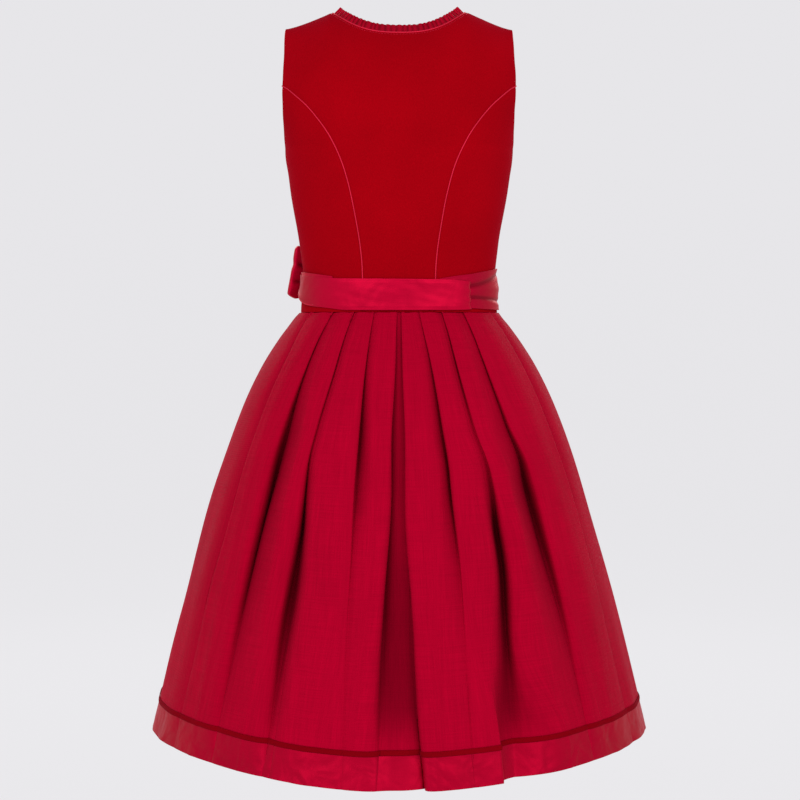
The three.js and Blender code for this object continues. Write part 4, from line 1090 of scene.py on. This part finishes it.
def add_apron():
    v = np.linspace(0, 1, APRON_GRID[0])[:, None]
    share = 1 - v
    u = np.linspace(-1, 1, APRON_GRID[1])[None, :]
    z = mix(APRON_HEM_Z, APRON_TOP_Z, v)
    half = mix(APRON_TOP_HALF, APRON_HEM_HALF, share)
    rng = np.random.default_rng(8)
    knots = np.linspace(-1, 1, 2 * APRON_FOLDS + 1)
    shifts = np.interp(u, knots, rng.uniform(-0.35, 0.35, len(knots)))
    strength = np.interp(u, knots, rng.uniform(0.6, 1.15, len(knots)))
    wide_fold = (0.5 - 0.5 * np.cos((u + 1) * math.pi * APRON_FOLDS + shifts * (1 + share))) * strength
    small_fold = (0.5 - 0.5 * np.cos((u + 1) * math.pi * APRON_FOLDS * 4 + shifts * 9)) * strength
    out = 2.3 + wide_fold * 7.5 * np.sqrt(share) + small_fold * 2.2 * smooth(0.35, 0.0, share)
    hem_line = -0.5 * bell(share, 0.955, 0.003)
    edge_line = -0.4 * bell(1 - np.abs(u), 0.02, 0.003)
    grid = skirt_point(180 + half * u, np.minimum(z, SKIRT_TOP_Z), out + hem_line + edge_line)
    grid[..., 2] += np.maximum(z - SKIRT_TOP_Z, 0)
    facing = grid_facing(grid)
    grid = grid + grid_normals(grid) * facing * (soft_folds(grid) * 0.5)[..., None]
    obj = cloth("apron_satin", grid, SATIN, facing=facing, wall=APRON_SHEET)
    place(obj, "apron_skirt")


def bow_frame():
    """Middle of the bow, and the directions along it and out of the body."""
    centre = waist_point(BOW["angle"], BOW["z"], BOW["out"])
    out = unit(centre - waist_point(BOW["angle"], BOW["z"], 0.0))
    return centre, np.array([-out[1], out[0], 0.0]), out


bow_centre, bow_along, bow_out = bow_frame()


def bow_points(along, out, up):
    return (
        bow_centre + along[..., None] * bow_along + out[..., None] * bow_out + up[..., None] * [0, 0, 1]
    )


def add_knot():
    u = np.linspace(0, 2 * math.pi, KNOT_GRID[1])[None, :]
    v = np.linspace(-1, 1, KNOT_GRID[0])[:, None]
    squeeze = 1 - 0.22 * np.abs(v) ** 3
    creases = 1 + 0.06 * np.cos(u * 9 + v * 0.8) + 0.04 * np.cos(u * 5 - v * 1.7)
    along = np.cos(u) * BOW["half"] * squeeze * creases
    out = (np.sin(u) * 0.5 + 0.5) * BOW["deep"] * squeeze * creases
    grid = bow_points(along, out, v * BOW["tall"])
    obj = cloth("bow_knot_satin", grid[:, :-1], SATIN, facing=1, wall=KNOT_SHEET, wrap=True)
    place(obj, "bow_knot")


CREASE_DEPTH = 3.6  # of the deeper crease in a loop


def cut_corner(level, start, deep):
    """How far the loop's end draws in, from a level on to the edge at 1."""
    return np.clip((level - start) / (1 - start), 0, 1) ** 2 * deep


def add_loop(node, direction, seed):
    """A ribbon that leaves the knot, turns at the loop's end and comes back, gathered at the knot."""
    t = np.linspace(-math.pi, math.pi, LOOP_GRID[1])[None, :]
    level = np.sin(np.linspace(-math.pi / 2, math.pi / 2, LOOP_GRID[0]))[:, None]
    share = 0.5 + 0.5 * np.cos(t)
    apart = 0.17 + 0.33 * np.abs(np.sin(t))
    along = mix(BOW["half"] - 2.0, LOOP["length"], share)
    out = LOOP["depth"] * (0.5 - np.sign(t) * apart)
    tall = mix(LOOP["pinch_half"], LOOP["end_half"], np.sqrt(share))
    rng = np.random.default_rng(seed)
    a, b = rng.uniform(0, 2 * math.pi, 2)
    gather = smooth(1.0, 0.25, share)
    waves = np.sin(level * 9.5 + a + 0.8 * share) * 0.9 + np.sin(level * 5.2 + b) * 0.8
    # Two creases run from the knot nearly to the loop's end, and the cloth swells between them.
    run_out = smooth(1.0, 0.82, share)
    high = bell(level, mix(0.34, 0.2, gather), 0.09) * CREASE_DEPTH
    low = bell(level, -mix(0.34, 0.42, gather), 0.08) * 3.0
    creases = (high + low) * run_out
    swell = np.cos(level * math.pi / 2) * 3.0 * np.sin(share * math.pi)
    lump = mix(0.5, 0.9, gather) * waves + swell - creases
    out = out - np.sign(t) * lump * np.sqrt(np.abs(np.sin(t)))
    low_corner = cut_corner(-level, 0.78, 13.0)
    top_corner = cut_corner(level, 0.85, 3.0)
    notch = bell(level, 0.3, 0.16) * 1.6
    lean = (5.0 - LOOP["lean"] * (level + 0.6) * tall - low_corner - top_corner - notch) * share
    up = level * tall + LOOP["rise"] * share
    grid = bow_points(direction * (along + lean), out, up)
    # Painted shade in the creases, in a hollow low in the loop and near the knot.
    hollow = bell(level, -0.68, 0.22) * smooth(0.9, 0.7, share) * 0.8
    shade = np.clip(creases / CREASE_DEPTH + hollow + 0.25 * gather, 0, 1)
    obj = cloth(f"{node}_satin", grid, SATIN, facing=direction, wall=BOW_SHEET, offset=0.0, fold=shade)
    place(obj, node)


TAIL_WIDTH = 60.0
TAIL_OUT = 15.0  # above the skirt, clear of its folds and the apron


def add_tail(node, angle, spread, length, layer, seed):
    """A tail of the bow, which hangs on the skirt at an angle and swings out by a spread to its end."""
    top = BOW["z"] - BOW["tall"] + 2.0
    share = np.linspace(1, 0, TAIL_GRID[0])[:, None]
    s = np.linspace(-1, 1, TAIL_GRID[1])[None, :]
    z = top - length * share
    reach = mix(0.25, 1.0, np.minimum(share / 0.33, 1)) * (TAIL_WIDTH / 2 - 1)
    on_skirt = np.minimum(z, SKIRT_TOP_Z)
    middle = mix(BOW["angle"], angle + spread * share, np.minimum(share / 0.5, 1))
    per = degrees_per_mm(middle, on_skirt, True)
    rng = np.random.default_rng(seed)
    a, b = rng.uniform(0, 2 * math.pi, 2)
    gather = smooth(0.7, 0.05, share)
    folds = np.sin(s * 7.5 + a) * 1.3 * gather + np.sin(s * 3.2 + b + share * 1.4) * 1.3
    settle = TAIL_OUT + layer + 1.6 * np.cos(s * math.pi / 2) + folds
    grid = skirt_point(middle + s * reach * per, on_skirt, settle)
    grid[..., 2] = z - 5.0 * s * share
    facing = grid_facing(grid)
    obj = cloth(f"{node}_satin", grid, SATIN, facing=facing, wall=BOW_SHEET, offset=0.0)
    place(obj, node)


add_tie()
add_band()
add_apron()
add_knot()
add_loop("bow_loop_back", 1, 41)
add_loop("bow_loop_front", -1, 42)
add_tail("bow_tail_back", -130, 3.5, 262, 0.0, 43)
add_tail("bow_tail_front", -147, -3.0, 285, 4.5, 44)

# ---- Stage: a pale sweep, soft light and the camera ----

FLOOR_Z = -1.38
SWEEP_REACH, SWEEP_ROUND, SWEEP_TOP = 5.5, 1.8, 3.5  # a bowl all round the dress
SWEEP_COLOR = (0.08, 0.08, 0.081)
SWEEP_GLOW = 0.925


def add_stage():
    n = Nodes("pale paper")
    grain = n.noise(n.coordinates("Object"), 3.0, detail=3.0)
    # Lit through from behind, like the wall of a light tent.
    n.set(n.shader, {
        "Base Color": n.shaded(SWEEP_COLOR, n.varied(grain, 0.005)), "Roughness": 1.0,
        "Specular IOR Level": 0.0, "Emission Color": (*srgb(231, 230, 233), 1.0),
        "Emission Strength": SWEEP_GLOW,
    })
    turn = np.linspace(0, math.pi / 2, 24)
    reach = np.concatenate([SWEEP_REACH - SWEEP_ROUND + np.sin(turn) * SWEEP_ROUND, [SWEEP_REACH]])
    height = np.concatenate([FLOOR_Z + SWEEP_ROUND - np.cos(turn) * SWEEP_ROUND, [SWEEP_TOP]])
    sides = 96
    around = np.linspace(0, 2 * math.pi, sides, endpoint=False)[None, :]
    grid = points(reach[:, None] * np.cos(around), reach[:, None] * np.sin(around), height[:, None])
    faces = [*grid_quads(len(reach), sides, wrap=True)[:, ::-1], range(sides)]
    obj = add_object("sweep", grid.reshape(-1, 3) / MM, faces, n.material)


def add_light(name, spot, target, size, power):
    data = bpy.data.lights.new(name, "AREA")
    data.shape = "RECTANGLE"
    data.size, data.size_y = size
    data.energy = power
    obj = bpy.data.objects.new(name, data)
    obj.location = spot
    obj.rotation_euler = (Vector(target) - Vector(spot)).to_track_quat("-Z", "Y").to_euler()
    obj.visible_camera = False
    bpy.context.scene.collection.objects.link(obj)


KEY_PLACE, KEY_SIZE, KEY_POWER = (1.6, 2.9, 1.1), (1.9, 1.9), 37.0
SKY = 0.3


def add_lights():
    middle = (0, 0, -0.5)
    for end in (-1, 1):
        for side in (-1, 1):
            spot = (KEY_PLACE[0] * side, KEY_PLACE[1] * end, KEY_PLACE[2])
            add_light(f"key {side} {end}", spot, middle, KEY_SIZE, KEY_POWER)
    world = bpy.data.worlds.new("studio")
    world.use_nodes = True
    background = world.node_tree.nodes["Background"]
    background.inputs["Color"].default_value = (1.0, 1.0, 1.0, 1.0)
    background.inputs["Strength"].default_value = SKY
    bpy.context.scene.world = world


def add_camera():
    data = bpy.data.cameras.new("camera")
    data.sensor_width = SENSOR
    data.lens = SENSOR * CAMERA_AWAY / (IMAGE_WIDE * PIXEL)
    obj = bpy.data.objects.new("camera", data)
    obj.location = (CAMERA_X, CAMERA_AWAY, CAMERA_Z)
    obj.rotation_euler = (math.radians(90 - CAMERA_TILT), 0, math.radians(180))
    bpy.context.scene.collection.objects.link(obj)
    bpy.context.scene.camera = obj


bpy.context.scene.view_settings.view_transform = "Standard"
add_camera()
add_stage()
add_lights()
